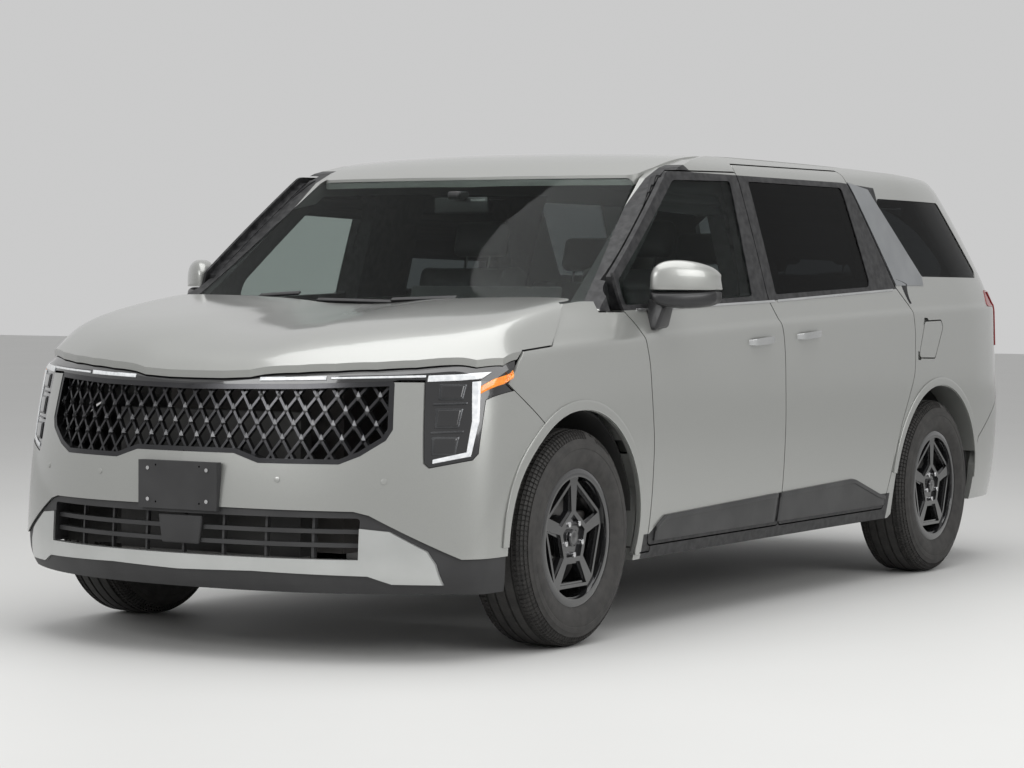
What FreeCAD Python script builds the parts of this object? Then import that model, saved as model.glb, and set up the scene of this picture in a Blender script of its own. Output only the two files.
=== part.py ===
import FreeCAD, Part

import math
import os

import Sketcher
from FreeCAD import Placement, Rotation, Vector

doc = FreeCAD.newDocument("Minivan")

# Driving dimensions, in millimetres and degrees.
# The car stands on z = 0 with its nose towards -Y and its left side at +X.
DIMENSIONS = {
    "overall_length": 5155.0,
    "half_width": 988.0,
    "wheelbase": 3090.0,
    "front_overhang": 935.0,
    "track_half": 870.0,
    "panel_gap": 5.5,
    "seat_gap": 0.3,
    "tyre_radius": 368.5,
    "tyre_width": 235.0,
    "rim_seat_radius": 216.0,
    "rim_flange_radius": 236.0,
    "rim_width": 190.0,
    "rim_offset": 88.0,
    "hub_radius": 74.0,
    "stub_radius": 32.0,
    "arch_radius": 430.0,
    "shoulder_height": 1047.0,
    "door_wall": 70.0,
    "door_frame_wall": 42.0,
    "side_wall": 112.0,
    "side_frame_wall": 118.0,
    "skin_wall": 11.0,
    "fascia_wall": 26.0,
    "glass_depth": 4.0,
    "glass_wall": 5.0,
    "roof_wall": 38.0,
    "bonnet_wall": 24.0,
    "door_bottom": 302.0,
    "sill_bottom": 258.0,
    "floor_height": 300.0,
    "floor_wall": 60.0,
    "hinge_inset": 34.0,
    "hinge_lead": 130.0,
    "door_front": -1128.0,
    "engine_width": 720.0,
    "engine_length": 540.0,
    "engine_height": 560.0,
    "engine_floor": 320.0,
    "radiator_width": 740.0,
    "radiator_height": 470.0,
    "radiator_wall": 60.0,
    "radiator_floor": 330.0,
    "tank_width": 630.0,
    "tank_length": 750.0,
    "tank_floor": 215.0,
    "steering_wheel_radius": 185.0,
    "seat_depth": 500.0,
    "seat_cushion": 130.0,
    "seat_back_height": 640.0,
    "seat_back_wall": 120.0,
    "exhaust_radius": 32.0,
}

sheet = doc.addObject("Spreadsheet::Sheet", "Dimensions")
for row, (alias, amount) in enumerate(DIMENSIONS.items(), start=1):
    sheet.set("A%d" % row, alias)
    sheet.set("B%d" % row, str(amount))
    sheet.setAlias("B%d" % row, alias)
doc.recompute()

NODES = []


def size(alias):
    """One driving dimension, read from the sheet."""
    return float(sheet.get(alias))


def node(label, shape):
    """A finished sub-part whose form comes from curved skins."""
    feature = doc.addObject("Part::Feature", label)
    feature.Label = label
    feature.Shape = shape
    NODES.append(feature)
    return feature


def block(label, place, length_text, width_text, height_text):
    """A plain block whose three sizes are bound to the sheet."""
    feature = doc.addObject("Part::Box", label)
    feature.Label = label
    feature.setExpression("Length", length_text)
    feature.setExpression("Width", width_text)
    feature.setExpression("Height", height_text)
    feature.Placement = Placement(place, Rotation())
    NODES.append(feature)
    return feature


def turned_body(label, profile, place):
    """A ring turned about the body's X axis; its profile's points are pairs of sheet formulas."""
    body = doc.addObject("PartDesign::Body", label)
    body.Label = label
    sketch = body.newObject("Sketcher::SketchObject", label + "_profile")
    plane = [feature for feature in body.Origin.OriginFeatures if feature.Role == "XY_Plane"][0]
    sketch.AttachmentSupport = [(plane, "")]
    sketch.MapMode = "FlatFace"
    corners = [Vector(sheet.evalExpression(a), sheet.evalExpression(b), 0) for a, b in profile]
    count = len(corners)
    for i in range(count):
        sketch.addGeometry(Part.LineSegment(corners[i], corners[(i + 1) % count]), False)
    for i in range(count):
        sketch.addConstraint(Sketcher.Constraint("Coincident", i, 2, (i + 1) % count, 1))
    for i, (across, radius) in enumerate(profile):
        for kind, text, value in (("DistanceX", across, corners[i].x), ("DistanceY", radius, corners[i].y)):
            name = "%s_%d" % (kind, i)
            index = sketch.addConstraint(Sketcher.Constraint(kind, -1, 1, i, 1, value))
            sketch.renameConstraint(index, name)
            sketch.setExpression("Constraints." + name, text)
    turn = body.newObject("PartDesign::Revolution", label + "_turn")
    turn.Profile = sketch
    turn.ReferenceAxis = (sketch, ["H_Axis"])
    turn.Angle = 360
    body.Placement = place
    NODES.append(body)
    return body


# Overall frame
length = size("overall_length")
nose = -length / 2
tail = length / 2
front_axle = nose + size("front_overhang")
rear_axle_y = front_axle + size("wheelbase")
half_width = size("half_width")
wheel_height = size("tyre_radius")
shoulder = size("shoulder_height")
gap = size("panel_gap")


def smooth(value, low, high):
    """Rises from 0 at low to 1 at high with level ends."""
    share = min(1.0, max(0.0, (value - low) / (high - low)))
    return share * share * (3 - 2 * share)


def along(value, knots):
    """Straight-line reading of a short profile of (place, amount) pairs."""
    for (a, first), (b, second) in zip(knots, knots[1:]):
        if value <= b:
            share = max(0.0, (value - a) / (b - a))
            return first + share * (second - first)
    return knots[-1][1]


# Body skin: how far each height stands in from the widest line, on the flanks and at the nose
FLANK_PROFILE = [(190, 60), (260, 40), (340, 25), (440, 12), (560, 5), (700, 0), (850, 2), (960, 5)]
NOSE_PROFILE = [(190, 70), (227, 24), (285, 0), (350, 2), (500, 12), (590, 22), (640, 30), (668, 33),
                (905, 90), (925, 98), (948, 108), (1010, 150), (1100, 210), (1250, 330)]
CREASE_STEP = 9.0
SHOULDER_LEAN = 0.20
GLASS_LEAN = [(1165, 36), (1250, 55), (1400, 92), (1550, 131), (1620, 150), (1655, 164), (1690, 193),
              (1712, 240)]
ROOF_EDGE = 1712.0


def crease_height(y):
    """The shoulder line climbs gently from the headlamp to the tail lamp."""
    return shoulder + along(y, [(-2100, -60), (-1760, -31), (-1195, 0), (-70, 42), (1144, 78), (2100, 100)])


def shoulder_lean(y):
    """Lean of the face above the shoulder line: steep on the front wing, upright on the doors."""
    return SHOULDER_LEAN + 0.62 * smooth(-y, 1080, 1720)


def front_taper(y, z):
    """The cabin narrows a little towards the windscreen."""
    return 30.0 * smooth(-y, 300, 1400) * smooth(z, 1060, 1190)


def flank_inset(y, z):
    """Distance of the flank in from the widest line."""
    crease = crease_height(y)
    if z <= crease - 12:
        return along(z, FLANK_PROFILE)
    base = along(crease - 12, FLANK_PROFILE)
    rise = z - crease
    if rise <= 8:
        return base + CREASE_STEP * smooth(rise, -14, 8) + max(0.0, rise) * SHOULDER_LEAN
    lean = base + CREASE_STEP + rise * shoulder_lean(y)
    if z < 1165:
        return lean + front_taper(y, z)
    belt = base + CREASE_STEP + (1165 - crease) * shoulder_lean(y)
    return belt + along(z, GLASS_LEAN) - GLASS_LEAN[0][1] + front_taper(y, z)


def nose_plan(x):
    """Plan curve of the nose, measured back from its foremost point."""
    return 224.0 * (abs(x) / 791.0) ** 2.6


NOSE_X = [0, 90, 250, 430, 600, 730, 820, 880, 925]
CORNER = [(958, 382), (977, 448), (986, 545)]
FLANK_SHARE = [0.0, 0.035, 0.08, 0.13, 0.185, 0.25, 0.325, 0.41, 0.50, 0.59, 0.68, 0.77, 0.85, 0.92, 0.97]
TAIL_TURN = [0, 14, 27, 38, 47, 55, 63, 71, 79, 85, 90]
TAIL_START = [(190, 1900), (700, 1920), (940, 1900), (1130, 1880), (1260, 1780), (1430, 1620), (1620, 1450),
              (1712, 1400)]
TAIL_END = [(190, 2535), (250, 2545), (400, 2566), (560, 2577.5), (650, 2575), (730, 2562), (790, 2538),
            (1000, 2532), (1130, 2526), (1260, 2478), (1430, 2385), (1620, 2215), (1712, 2120)]
TAIL_POWER = 3.0
FLANK_START = nose + 640.0
COLUMNS = len(NOSE_X) + len(CORNER) + len(FLANK_SHARE) + len(TAIL_TURN)


def skin_point(column, z):
    """A point of the left half of the body skin: columns run from the nose's middle round to the tail's."""
    if column < len(NOSE_X):
        x = NOSE_X[column]
        fade = 1.0 - 0.42 * smooth(x, 800, 960)
        inset = along(z, NOSE_PROFILE)
        lean = 0.55 * smooth(x, 780, 960)
        return Vector(x - inset * lean, nose + nose_plan(x) + inset * fade, z)
    column -= len(NOSE_X)
    inset = along(z, NOSE_PROFILE)
    if column < len(CORNER):
        x, back = CORNER[column]
        share = (0.55, 0.50, 0.44)[column]
        side = flank_inset(FLANK_START, z)
        mix = 0.2 + 0.2 * column
        across = inset * share * (1 - mix) + side * mix + 6 * column
        return Vector(x - across, nose + back + inset * share * (1 - mix), z)
    column -= len(CORNER)
    tail_start = along(z, TAIL_START)
    if column < len(FLANK_SHARE):
        y = FLANK_START + FLANK_SHARE[column] * (tail_start - FLANK_START)
        front_pull = 0.36 * smooth(-y, 1350, 2150) * max(0.0, inset - 40)
        swell = 6.5 * smooth(abs(y), 900, 1500) - 4.0 * smooth(-y, 1700, 1940)
        return Vector(half_width + swell - flank_inset(y, z) - front_pull * smooth(-y, 1350, 1950), y, z)
    column -= len(FLANK_SHARE)
    turn = math.radians(TAIL_TURN[column])
    reach = along(z, TAIL_END) - tail_start
    swell = 6.5 * (1 - smooth(TAIL_TURN[column], 0, 30))
    across = half_width + swell - flank_inset(tail_start, z)
    x = across * max(0.0, math.cos(turn)) ** (2 / TAIL_POWER)
    y = tail_start + reach * math.sin(turn) ** (2 / TAIL_POWER)
    if column == len(TAIL_TURN) - 1:
        x = 0.0
    return Vector(x, y, z)


LOW_ROWS = [190, 240, 300, 380, 470, 580, 700, 820, 920]
CREASE_ROWS = [-42, -16, -5, 4, 14, 44]
TOP_ROWS = [0.09, 0.19, 0.34, 0.52, 0.70, 0.83, 0.90, 0.955, 1.0]


def row_heights(column):
    """Heights of the skin's rows at one column; ahead of the cabin the skin stops above the shoulder."""
    y = skin_point(column, 700).y
    crease = crease_height(y)
    top = crease + 120 + (ROOF_EDGE - crease - 120) * smooth(y, -1560, -1000)
    first = crease + CREASE_ROWS[-1]
    return LOW_ROWS + [crease + rise for rise in CREASE_ROWS] + [first + (top - first) * s for s in TOP_ROWS]


def knots_for(count, degree=3):
    """Clamped, evenly spaced knots and their multiplicities."""
    inner = count - degree - 1
    knots = [float(k) for k in range(inner + 2)]
    return knots, [degree + 1] + [1] * inner + [degree + 1]


def pole_face(rows):
    """A smooth surface steered by a grid of poles."""
    surface = Part.BSplineSurface()
    knots_u, mults_u = knots_for(len(rows))
    knots_v, mults_v = knots_for(len(rows[0]))
    surface.buildFromPolesMultsKnots(rows, mults_u, mults_v, knots_u, knots_v, False, False, 3, 3)
    return surface


def side_face(first, second):
    """The straight wall between two matching edges of poles."""
    knots, mults = knots_for(len(first))
    surface = Part.BSplineSurface()
    surface.buildFromPolesMultsKnots([first, second], [2, 2], mults, [0.0, 1.0], knots, False, False, 1, 3)
    return surface.toShape()


def block_between(outer, inner):
    """A solid wall between an outer and an inner grid of poles."""
    faces = [pole_face(outer).toShape(), pole_face(inner).toShape()]
    faces.append(side_face(outer[0], inner[0]))
    faces.append(side_face(outer[-1], inner[-1]))
    faces.append(side_face([r[0] for r in outer], [r[0] for r in inner]))
    faces.append(side_face([r[-1] for r in outer], [r[-1] for r in inner]))
    shell = Part.Shell(faces)
    shell.sewShape()
    solid = Part.Solid(shell)
    if solid.Volume < 0:
        solid.reverse()
    return solid


SKIN_GRID = {}


def skin_frame():
    """Rows of skin points and the plan normal at each."""
    if not SKIN_GRID:
        heights = [row_heights(c) for c in range(COLUMNS)]
        grid = []
        for r in range(len(heights[0])):
            line = []
            for c in range(COLUMNS):
                z = heights[c][r]
                here = skin_point(c, z)
                before = skin_point(max(0, c - 1), z)
                after = skin_point(min(COLUMNS - 1, c + 1), z)
                run = after - before
                normal = Vector(run.y, -run.x, 0)
                if c == 0:
                    normal = Vector(0, -1, 0)
                if c == COLUMNS - 1:
                    normal = Vector(0, 1, 0)
                normal.normalize()
                line.append((here, normal))
            grid.append(line)
        SKIN_GRID["grid"] = grid
    return SKIN_GRID["grid"]


def skin_wall(low_start, low_end, high_start=None, high_end=None):
    """The left body wall between two depths under the skin, below and above the belt."""
    high_start = low_start if high_start is None else high_start
    high_end = low_end if high_end is None else high_end
    outer = []
    inner = []
    for line in skin_frame():
        outer_line = []
        inner_line = []
        for here, normal in line:
            high = smooth(here.z, 1100, 1230)
            start = low_start + (high_start - low_start) * high
            end = low_end + (high_end - low_end) * high
            outer_line.append(here - normal * start)
            inner_line.append(here - normal * end)
        outer.append(outer_line)
        inner.append(inner_line)
    return block_between(outer, inner)


def outline_wire(points, radii, place):
    """A closed outline of straight runs whose corners are rounded to their own radii."""
    count = len(points)
    starts = []
    ends = []
    mids = []
    for i in range(count):
        here = Vector(points[i][0], points[i][1], 0)
        back = Vector(points[i - 1][0], points[i - 1][1], 0) - here
        ahead = Vector(points[(i + 1) % count][0], points[(i + 1) % count][1], 0) - here
        radius = radii[i] if isinstance(radii, (list, tuple)) else radii
        angle = back.getAngle(ahead)
        if radius <= 0 or angle > math.radians(178):
            starts.append(here)
            ends.append(here)
            mids.append(None)
            continue
        cut = min(radius / math.tan(angle / 2), 0.45 * back.Length, 0.45 * ahead.Length)
        round_radius = cut * math.tan(angle / 2)
        first = here + back * (cut / back.Length)
        last = here + ahead * (cut / ahead.Length)
        bisector = back * (1 / back.Length) + ahead * (1 / ahead.Length)
        bisector.normalize()
        centre = here + bisector * (round_radius / math.sin(angle / 2))
        starts.append(first)
        ends.append(last)
        mids.append(centre - bisector * round_radius)
    edges = []
    for i in range(count):
        if mids[i] is not None:
            edges.append(Part.Arc(place(starts[i]), place(mids[i]), place(ends[i])).toShape())
        following = starts[(i + 1) % count]
        if ends[i].distanceToPoint(following) > 1e-6:
            edges.append(Part.makeLine(place(ends[i]), place(following)))
    return Part.Wire(edges)


def side_prism(points, radii=0, start=0.0, end=1300.0, grow=0.0):
    """A side-view outline (y, z) drawn out across the car."""
    wire = outline_wire(points, radii, lambda p: Vector(start, p.x, p.y))
    if grow:
        wire = wire.makeOffset2D(grow)
    return Part.Face(wire).extrude(Vector(end - start, 0, 0))


def front_prism(points, radii=0, start=-2700.0, end=-1200.0, grow=0.0):
    """A front-view outline (x, z) drawn out along the car."""
    wire = outline_wire(points, radii, lambda p: Vector(p.x, start, p.y))
    if grow:
        wire = wire.makeOffset2D(grow)
    return Part.Face(wire).extrude(Vector(0, end - start, 0))


def plan_prism(points, radii=0, start=0.0, end=2000.0, grow=0.0):
    """A plan outline (x, y) drawn upwards."""
    wire = outline_wire(points, radii, lambda p: Vector(p.x, p.y, start))
    if grow:
        wire = wire.makeOffset2D(grow)
    return Part.Face(wire).extrude(Vector(0, 0, end - start))


def box(x0, y0, z0, x1, y1, z1):
    """A plain block between two corners."""
    return Part.makeBox(x1 - x0, y1 - y0, z1 - z0, Vector(x0, y0, z0))


def drum(x0, x1, y, z, radius):
    """A cylinder across the car."""
    return Part.makeCylinder(radius, x1 - x0, Vector(x0, y, z), Vector(1, 0, 0))


def mirrored(shape):
    """The same piece on the other side of the car."""
    return shape.mirror(Vector(0, 0, 0), Vector(1, 0, 0))


def biggest(shape, least=500.0):
    """Drops slivers: keeps the solids that have a real volume."""
    solids = [s for s in shape.Solids if s.Volume > least]
    if len(solids) == 1:
        return solids[0]
    return Part.makeCompound(solids)


# Side-view outlines (y, z)
door_front = size("door_front")
door_bottom = size("door_bottom")
MID_CUT = [(-62, door_bottom), (-62, 940), (-80, 1060), (-165, 1170)]
FRONT_DOOR = [(door_front, door_bottom), (door_front, 660), (door_front - 30, 944), (-1195, 1046),
              (-1262, 1128),
              (-1262, 1262), (-745, 1640), (-200, 1652)] + MID_CUT[::-1]
FRONT_DOOR_RADII = [30, 600, 300, 300, 12, 20, 60, 12, 120, 260, 700, 20]
SLIDING_DOOR = [(930, door_bottom), (985, 480), (1060, 660), (1190, 858), (1190, 1031), (1165, 1128),
                (1040, 1222),
                (800, 1650), (800, 1694), (-188, 1684), (-200, 1652)] + MID_CUT[::-1]
SLIDING_DOOR_RADII = [20, 200, 200, 160, 160, 90, 60, 20, 20, 16, 10, 120, 260, 700, 20]
FRONT_WINDOW = [(-1236, 1150), (-1236, 1238), (-715, 1606), (-272, 1616), (-293, 1180)]
FRONT_WINDOW_RADII = [12, 25, 60, 14, 14]
SLIDING_WINDOW = [(-92, 1188), (-119, 1620), (729, 1623), (800, 1219)]
SLIDING_WINDOW_RADII = [14, 14, 24, 30]
QUARTER_WINDOW = [(1338, 1264), (1012, 1588), (1735, 1588), (2019, 1262)]
QUARTER_WINDOW_RADII = [16, 24, 40, 24]
GARNISH = [(1052, 1226), (806, 1648), (985, 1624), (1010, 1592), (1330, 1262), (1330, 1226)]

body_band = skin_wall(0, size("side_wall"), 0, size("side_frame_wall"))
door_band = skin_wall(0, size("door_wall"), 0, size("door_frame_wall"))
thin_band = skin_wall(0, size("skin_wall"))
fascia_band = skin_wall(0, size("fascia_wall"))
pocket_band = skin_wall(-20, size("door_wall") + gap, -20, size("door_frame_wall") + gap)
rim_band = skin_wall(size("skin_wall"), size("side_wall") + 60)
glass_band = skin_wall(size("glass_depth"), size("glass_depth") + size("glass_wall"))

# Doors: full-depth panels with their rims stepped back behind the outer skin
DOOR_STEP = 22.0


def door_panel(outline, radii, window, window_radii):
    """A door as thick as the real one, with its window cut."""
    panel = door_band.common(side_prism(outline, radii, grow=-gap / 2))
    rim = rim_band.cut(side_prism(outline, radii, start=-10, grow=-gap / 2 - DOOR_STEP))
    panel = panel.cut(rim)
    return panel.cut(side_prism(window, window_radii))


front_door = biggest(door_panel(FRONT_DOOR, FRONT_DOOR_RADII, FRONT_WINDOW, FRONT_WINDOW_RADII))
sliding_door = biggest(door_panel(SLIDING_DOOR, SLIDING_DOOR_RADII, SLIDING_WINDOW, SLIDING_WINDOW_RADII))

# Hinges of the front doors: curved straps reach from the door's edge round to pins in the pillar
hinge_x = half_width - size("hinge_inset")
hinge_y = door_front - size("hinge_lead")
SAIL_SWEEP = 92.0
STRAP_SWEEP = 176.0
SAIL_FLOOR = 1010.0
DOOR_HINGES = (640.0, 880.0)
BARREL = 36.0
BARREL_RADIUS = 10.0
PIN_RADIUS = 5.0
RUNNING_FIT = 0.05
STRAP = [(-6, -8), (-138, 62), (-138, 74), (-40, 166), (-30, 158), (-124, 70), (6, 8)]
hinge_room = Part.makeCylinder(SAIL_SWEEP, 330, Vector(hinge_x, hinge_y, SAIL_FLOOR))
hinge_pins = []
for z in DOOR_HINGES:
    room = Part.makeCylinder(STRAP_SWEEP, BARREL + 12, Vector(hinge_x, hinge_y, z - 6))
    hinge_room = hinge_room.fuse(room)
    barrel = Part.makeCylinder(BARREL_RADIUS, BARREL, Vector(hinge_x, hinge_y, z))
    strap = plan_prism([(hinge_x + a, hinge_y + b) for a, b in STRAP], 0, start=z, end=z + BARREL)
    bore = Part.makeCylinder(PIN_RADIUS + RUNNING_FIT, BARREL, Vector(hinge_x, hinge_y, z))
    front_door = front_door.fuse(barrel.fuse(strap)).cut(bore)
    hinge_pins.append(Part.makeCylinder(PIN_RADIUS, BARREL + 40, Vector(hinge_x, hinge_y, z - 20)))
front_door = biggest(front_door)


def window_glass(outline, radii):
    """Side glass seated just inside its opening."""
    return biggest(glass_band.common(side_prism(outline, radii, grow=-size("seat_gap"))))


front_glass = window_glass(FRONT_WINDOW, FRONT_WINDOW_RADII)
sliding_glass = window_glass(SLIDING_WINDOW, SLIDING_WINDOW_RADII)
quarter_glass = window_glass(QUARTER_WINDOW, QUARTER_WINDOW_RADII)

# Body side: A-pillar, cant rail, door pockets and apertures, rear quarter and sill in one pressing
BODY_SIDE = [(-1213, size("sill_bottom")), (-1213, 520), (-1285, 640), (-1330, 720), (-1415, 1128),
             (-1370, 1177), (-745, 1612), (-640, 1655),
             (-480, 1690), (-300, 1712), (1000, 1712), (1400, 1704), (1800, 1686), (2120, 1664), (2600, 1600),
             (2600, 500), (1447, 500), (1000, size("sill_bottom"))]
FRONT_APERTURE = [(-1020, 420), (-1020, 1080), (-1180, 1190), (-700, 1560), (-300, 1580), (-300, 420)]
REAR_APERTURE = [(60, 420), (60, 1590), (700, 1590), (960, 1180), (960, 700), (760, 420)]
side = body_band.common(side_prism(BODY_SIDE, 0))
pockets = pocket_band.common(side_prism(FRONT_DOOR, FRONT_DOOR_RADII, grow=gap / 2).fuse(
    side_prism(SLIDING_DOOR, SLIDING_DOOR_RADII, grow=gap / 2)))
side = side.cut(pockets)
for aperture in (FRONT_APERTURE, REAR_APERTURE):
    side = side.cut(side_prism(aperture, 60))
side = side.cut(side_prism(QUARTER_WINDOW, QUARTER_WINDOW_RADII))
side = side.cut(drum(0, 1300, rear_axle_y, wheel_height, size("arch_radius")))
TAILGATE_CUT = [(2078, 1720), (2078, 1640), (2230, 1225), (2300, 1130), (2300, 790), (2700, 790),
                (2700, 1720)]
side = side.cut(side_prism(TAILGATE_CUT, 40, grow=gap / 2))
BUMPER_CUT = [(1800, 200), (1905, 560), (2150, 700), (2240, 790), (2700, 790), (2700, 200)]
side = side.cut(side_prism(BUMPER_CUT, 0, grow=gap / 2))
side = side.cut(hinge_room)
side = side.fuse(hinge_pins)
side = biggest(side)

# Front wing
FENDER = [(-2062, 898), (-1960, 1003), (-1795, 1017), (-1570, 1157), (-1480, 1166), (-1414, 1166),
          (-1414, 1128), (-1240, 1128), (-1170, 1046), (-1128, 944), (-1098, 660), (-1098, 280),
          (-1250, 280), (-1642, 600), (-1840, 730)]
fender = thin_band.common(side_prism(FENDER, 0, grow=-gap / 2)).cut(
    side_prism(FRONT_DOOR, FRONT_DOOR_RADII, grow=gap / 2)).cut(box(0, -1400, 200, 1200, -1000,
                                                                    size("sill_bottom")))
fender = biggest(fender.cut(drum(0, 1300, front_axle, wheel_height, size("arch_radius"))))

side = side.cut(skin_wall(-30, size("skin_wall") + gap).common(side_prism(FENDER, 0, grow=gap / 2)))
seat_gap = size("seat_gap")
wing_pads = skin_wall(size("skin_wall") + seat_gap, size("skin_wall") + 14)
for y, z in ((-1190, 330), (-1200, 760)):
    side = side.fuse(wing_pads.common(side_prism([(y, z), (y + 36, z), (y + 36, z + 40), (y, z + 40)])))
door_pads = skin_wall(size("door_wall") + seat_gap, size("door_wall") + 16)
for y, z in ((-20, 560), (-20, 900), (1020, 700), (1030, 1000)):
    side = side.fuse(door_pads.common(side_prism([(y, z), (y + 40, z), (y + 40, z + 60), (y, z + 60)])))


def heights_block(heights, xs, ys, upper, lower):
    """A wall under a height surface z(x, y), between two offsets from it."""
    top = [[Vector(x, y, heights(x, y) + upper) for x in xs] for y in ys]
    bottom = [[Vector(x, y, heights(x, y) + lower) for x in xs] for y in ys]
    return block_between(top, bottom)


def both_ways(values):
    """Stations on both sides of the middle."""
    return [-v for v in reversed(values) if v > 0] + list(values)


# Windscreen: one curved sheet leaning back over the cowl
SCREEN_ROWS = [1080, 1140, 1177, 1250, 1350, 1450, 1550, 1612, 1640]
SCREEN_CENTRE = [(1080, -1620), (1177, -1459), (1300, -1268), (1450, -1052), (1612, -815), (1640, -772)]
SCREEN_X = both_ways([0, 150, 320, 480, 620, 740, 840, 930])


def screen_y(x, z):
    """Place of the windscreen's outer face."""
    bow = 1.45e-4 - 0.25e-4 * smooth(z, 1177, 1612)
    return along(z, SCREEN_CENTRE) + bow * x * x


def screen_wall(ahead, behind):
    """The sheet between two distances along the car from the windscreen's outer face."""
    outer = [[Vector(x, screen_y(x, z) + ahead, z) for x in SCREEN_X] for z in SCREEN_ROWS]
    inner = [[Vector(x, screen_y(x, z) + behind, z) for x in SCREEN_X] for z in SCREEN_ROWS]
    return block_between(outer, inner)


SCREEN = [(-845, 1142), (-700, 1612), (700, 1612), (845, 1142)]
windscreen = screen_wall(0, 11).common(front_prism(SCREEN, [20, 60, 60, 20], start=-2000, end=-300))
windscreen = biggest(windscreen)
screen_room = screen_wall(-420, 11 + size("seat_gap")).common(
    front_prism(SCREEN, [20, 60, 60, 20], start=-2000, end=-300, grow=1.5))
side = side.cut(screen_room).cut(screen_wall(-420, -1))
side = side.cut(plan_prism([(-10, 1700), (600, 1700), (590, 1990), (520, 2100), (-10, 2100)], 0, start=1500,
                           end=1900))
side = biggest(side)

# Roof panel
ROOF_CENTRE = [(-900, 1590), (-800, 1622), (-740, 1652), (-640, 1690), (-500, 1718), (-330, 1732), (0, 1739),
               (500, 1740), (1000, 1734), (1400, 1722), (1800, 1702), (2150, 1676), (2300, 1655)]
ROOF_SIDE = [(-900, 1575), (-800, 1604), (-740, 1622), (-640, 1661), (-500, 1694), (-330, 1714), (0, 1717),
             (500, 1717), (1000, 1716), (1400, 1708), (1800, 1690), (2150, 1668), (2300, 1648)]
DITCH = 738.0


def roof_height(x, y):
    """Crowned roof surface."""
    middle = along(y, ROOF_CENTRE)
    return middle - (middle - along(y, ROOF_SIDE)) * (abs(x) / DITCH) ** 2.4


roof_block = heights_block(roof_height, both_ways([0, 150, 320, 480, 600, 680, 730, 770]),
                           [-900, -820, -750, -680, -600, -500, -380, -200, 100, 500, 900, 1300, 1700, 2000,
                            2150, 2260],
                           0, -size("roof_wall"))
ROOF_PLAN = [(0, -806), (380, -790), (560, -772), (690, -752), (722, -640), (DITCH, -440), (DITCH, 1430),
             (730, 1640),
             (700, 1820), (620, 1980), (500, 2066), (0, 2066)]
roof_plan = ROOF_PLAN + [(-x, y) for x, y in ROOF_PLAN[-2:0:-1]]
TAIL_HINGE_X = 400.0
TAIL_HINGE_Y = 2022.0
TAIL_HINGE_DROP = 20.0
LUG_WIDTH = 46.0
tail_hinge_z = roof_height(TAIL_HINGE_X, TAIL_HINGE_Y) - TAIL_HINGE_DROP
roof = roof_block.common(plan_prism(roof_plan, 60, start=1500, end=1800))
for x in (-TAIL_HINGE_X, TAIL_HINGE_X):
    wide = LUG_WIDTH / 2 + gap
    roof = roof.cut(box(x - wide, TAIL_HINGE_Y - 18, 1500, x + wide, 2100, 1800))
    roof = roof.fuse(drum(x - wide - 12, x + wide + 12, TAIL_HINGE_Y, tail_hinge_z, PIN_RADIUS))
roof = biggest(roof.cut(screen_room).cut(mirrored(screen_room)), 1e5)
roof_room = heights_block(roof_height, both_ways([0, 150, 320, 480, 600, 680, 730, 800]),
                          [-900, -820, -750, -680, -600, -500, -380, -200, 100, 500, 900, 1300, 1700, 2000,
                           2150, 2260],
                          300, -size("roof_wall") - seat_gap)
side = biggest(side.cut(roof_room.common(plan_prism(roof_plan, 60, start=1500, end=1900, grow=seat_gap))))

# Bonnet
BONNET_EDGE = [(0, 930), (225, 930), (262, 949), (712, 972), (890, 991), (985, 1003)]
BONNET_RISE = [(-200, -150), (0, 0), (45, 37), (105, 70), (205, 108), (335, 138), (485, 162), (685, 190),
               (835, 208),
               (1005, 224), (1200, 236)]


def nose_surface(x, z):
    """The nose skin's place along the car, away from its corners."""
    return nose + nose_plan(x) + along(z, NOSE_PROFILE)


def flank_x(y, z):
    """Half width of the skin on the front wing."""
    if y >= FLANK_START:
        front_pull = 0.36 * smooth(-y, 1350, 2150) * max(0.0, along(z, NOSE_PROFILE) - 40)
        swell = 6.5 * smooth(abs(y), 900, 1500) - 4.0 * smooth(-y, 1700, 1940)
        return half_width + swell - flank_inset(y, z) - front_pull * smooth(-y, 1350, 1950)
    points = [skin_point(c, z) for c in range(len(NOSE_X) - 2, len(NOSE_X) + len(CORNER) + 1)]
    return along(y, [(p.y, p.x) for p in points])


def bonnet_height(x, y):
    """The bonnet rises quickly from its front edge and falls to the shoulder line at its sides."""
    edge = along(abs(x), BONNET_EDGE)
    top = edge + along(y - nose_surface(min(abs(x), 925.0), edge), BONNET_RISE)
    crease = crease_height(y) + 6
    side_fall = crease + (flank_x(y, crease) - abs(x)) / 0.78
    blend = 12.0
    low = min(top, side_fall)
    return low - blend * math.log(math.exp((low - top) / blend) + math.exp((low - side_fall) / blend))


bonnet_block = heights_block(bonnet_height, both_ways([0, 140, 280, 430, 560, 680, 760, 820, 865, 905, 940,
                                                       975]),
                             [-2520, -2470, -2430, -2380, -2320, -2240, -2150, -2050, -1940, -1820, -1700,
                              -1570, -1440],
                             0, -size("bonnet_wall"))
half = gap / 2
edge_points = []
for x in (0, 110, 215):
    edge_points.append((x, nose_surface(x, 930) + half))
for x in (265, 380, 500, 620, 730, 820, 880):
    edge_points.append((x, nose_surface(x, along(x, BONNET_EDGE)) + half))
for y in (-2060, -1960, -1860, -1795):
    edge_points.append((flank_x(y, crease_height(y)) - 4, y))
REAR_POINTS = [(872, -1565), (846, -1492), (700, -1482), (400, -1518), (0, -1534)]
bonnet_plan = edge_points + REAR_POINTS
bonnet_plan = bonnet_plan + [(-x, y) for x, y in bonnet_plan[-2:0:-1]]
wing_room = side_prism(FENDER, 0, grow=half, start=700)
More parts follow.
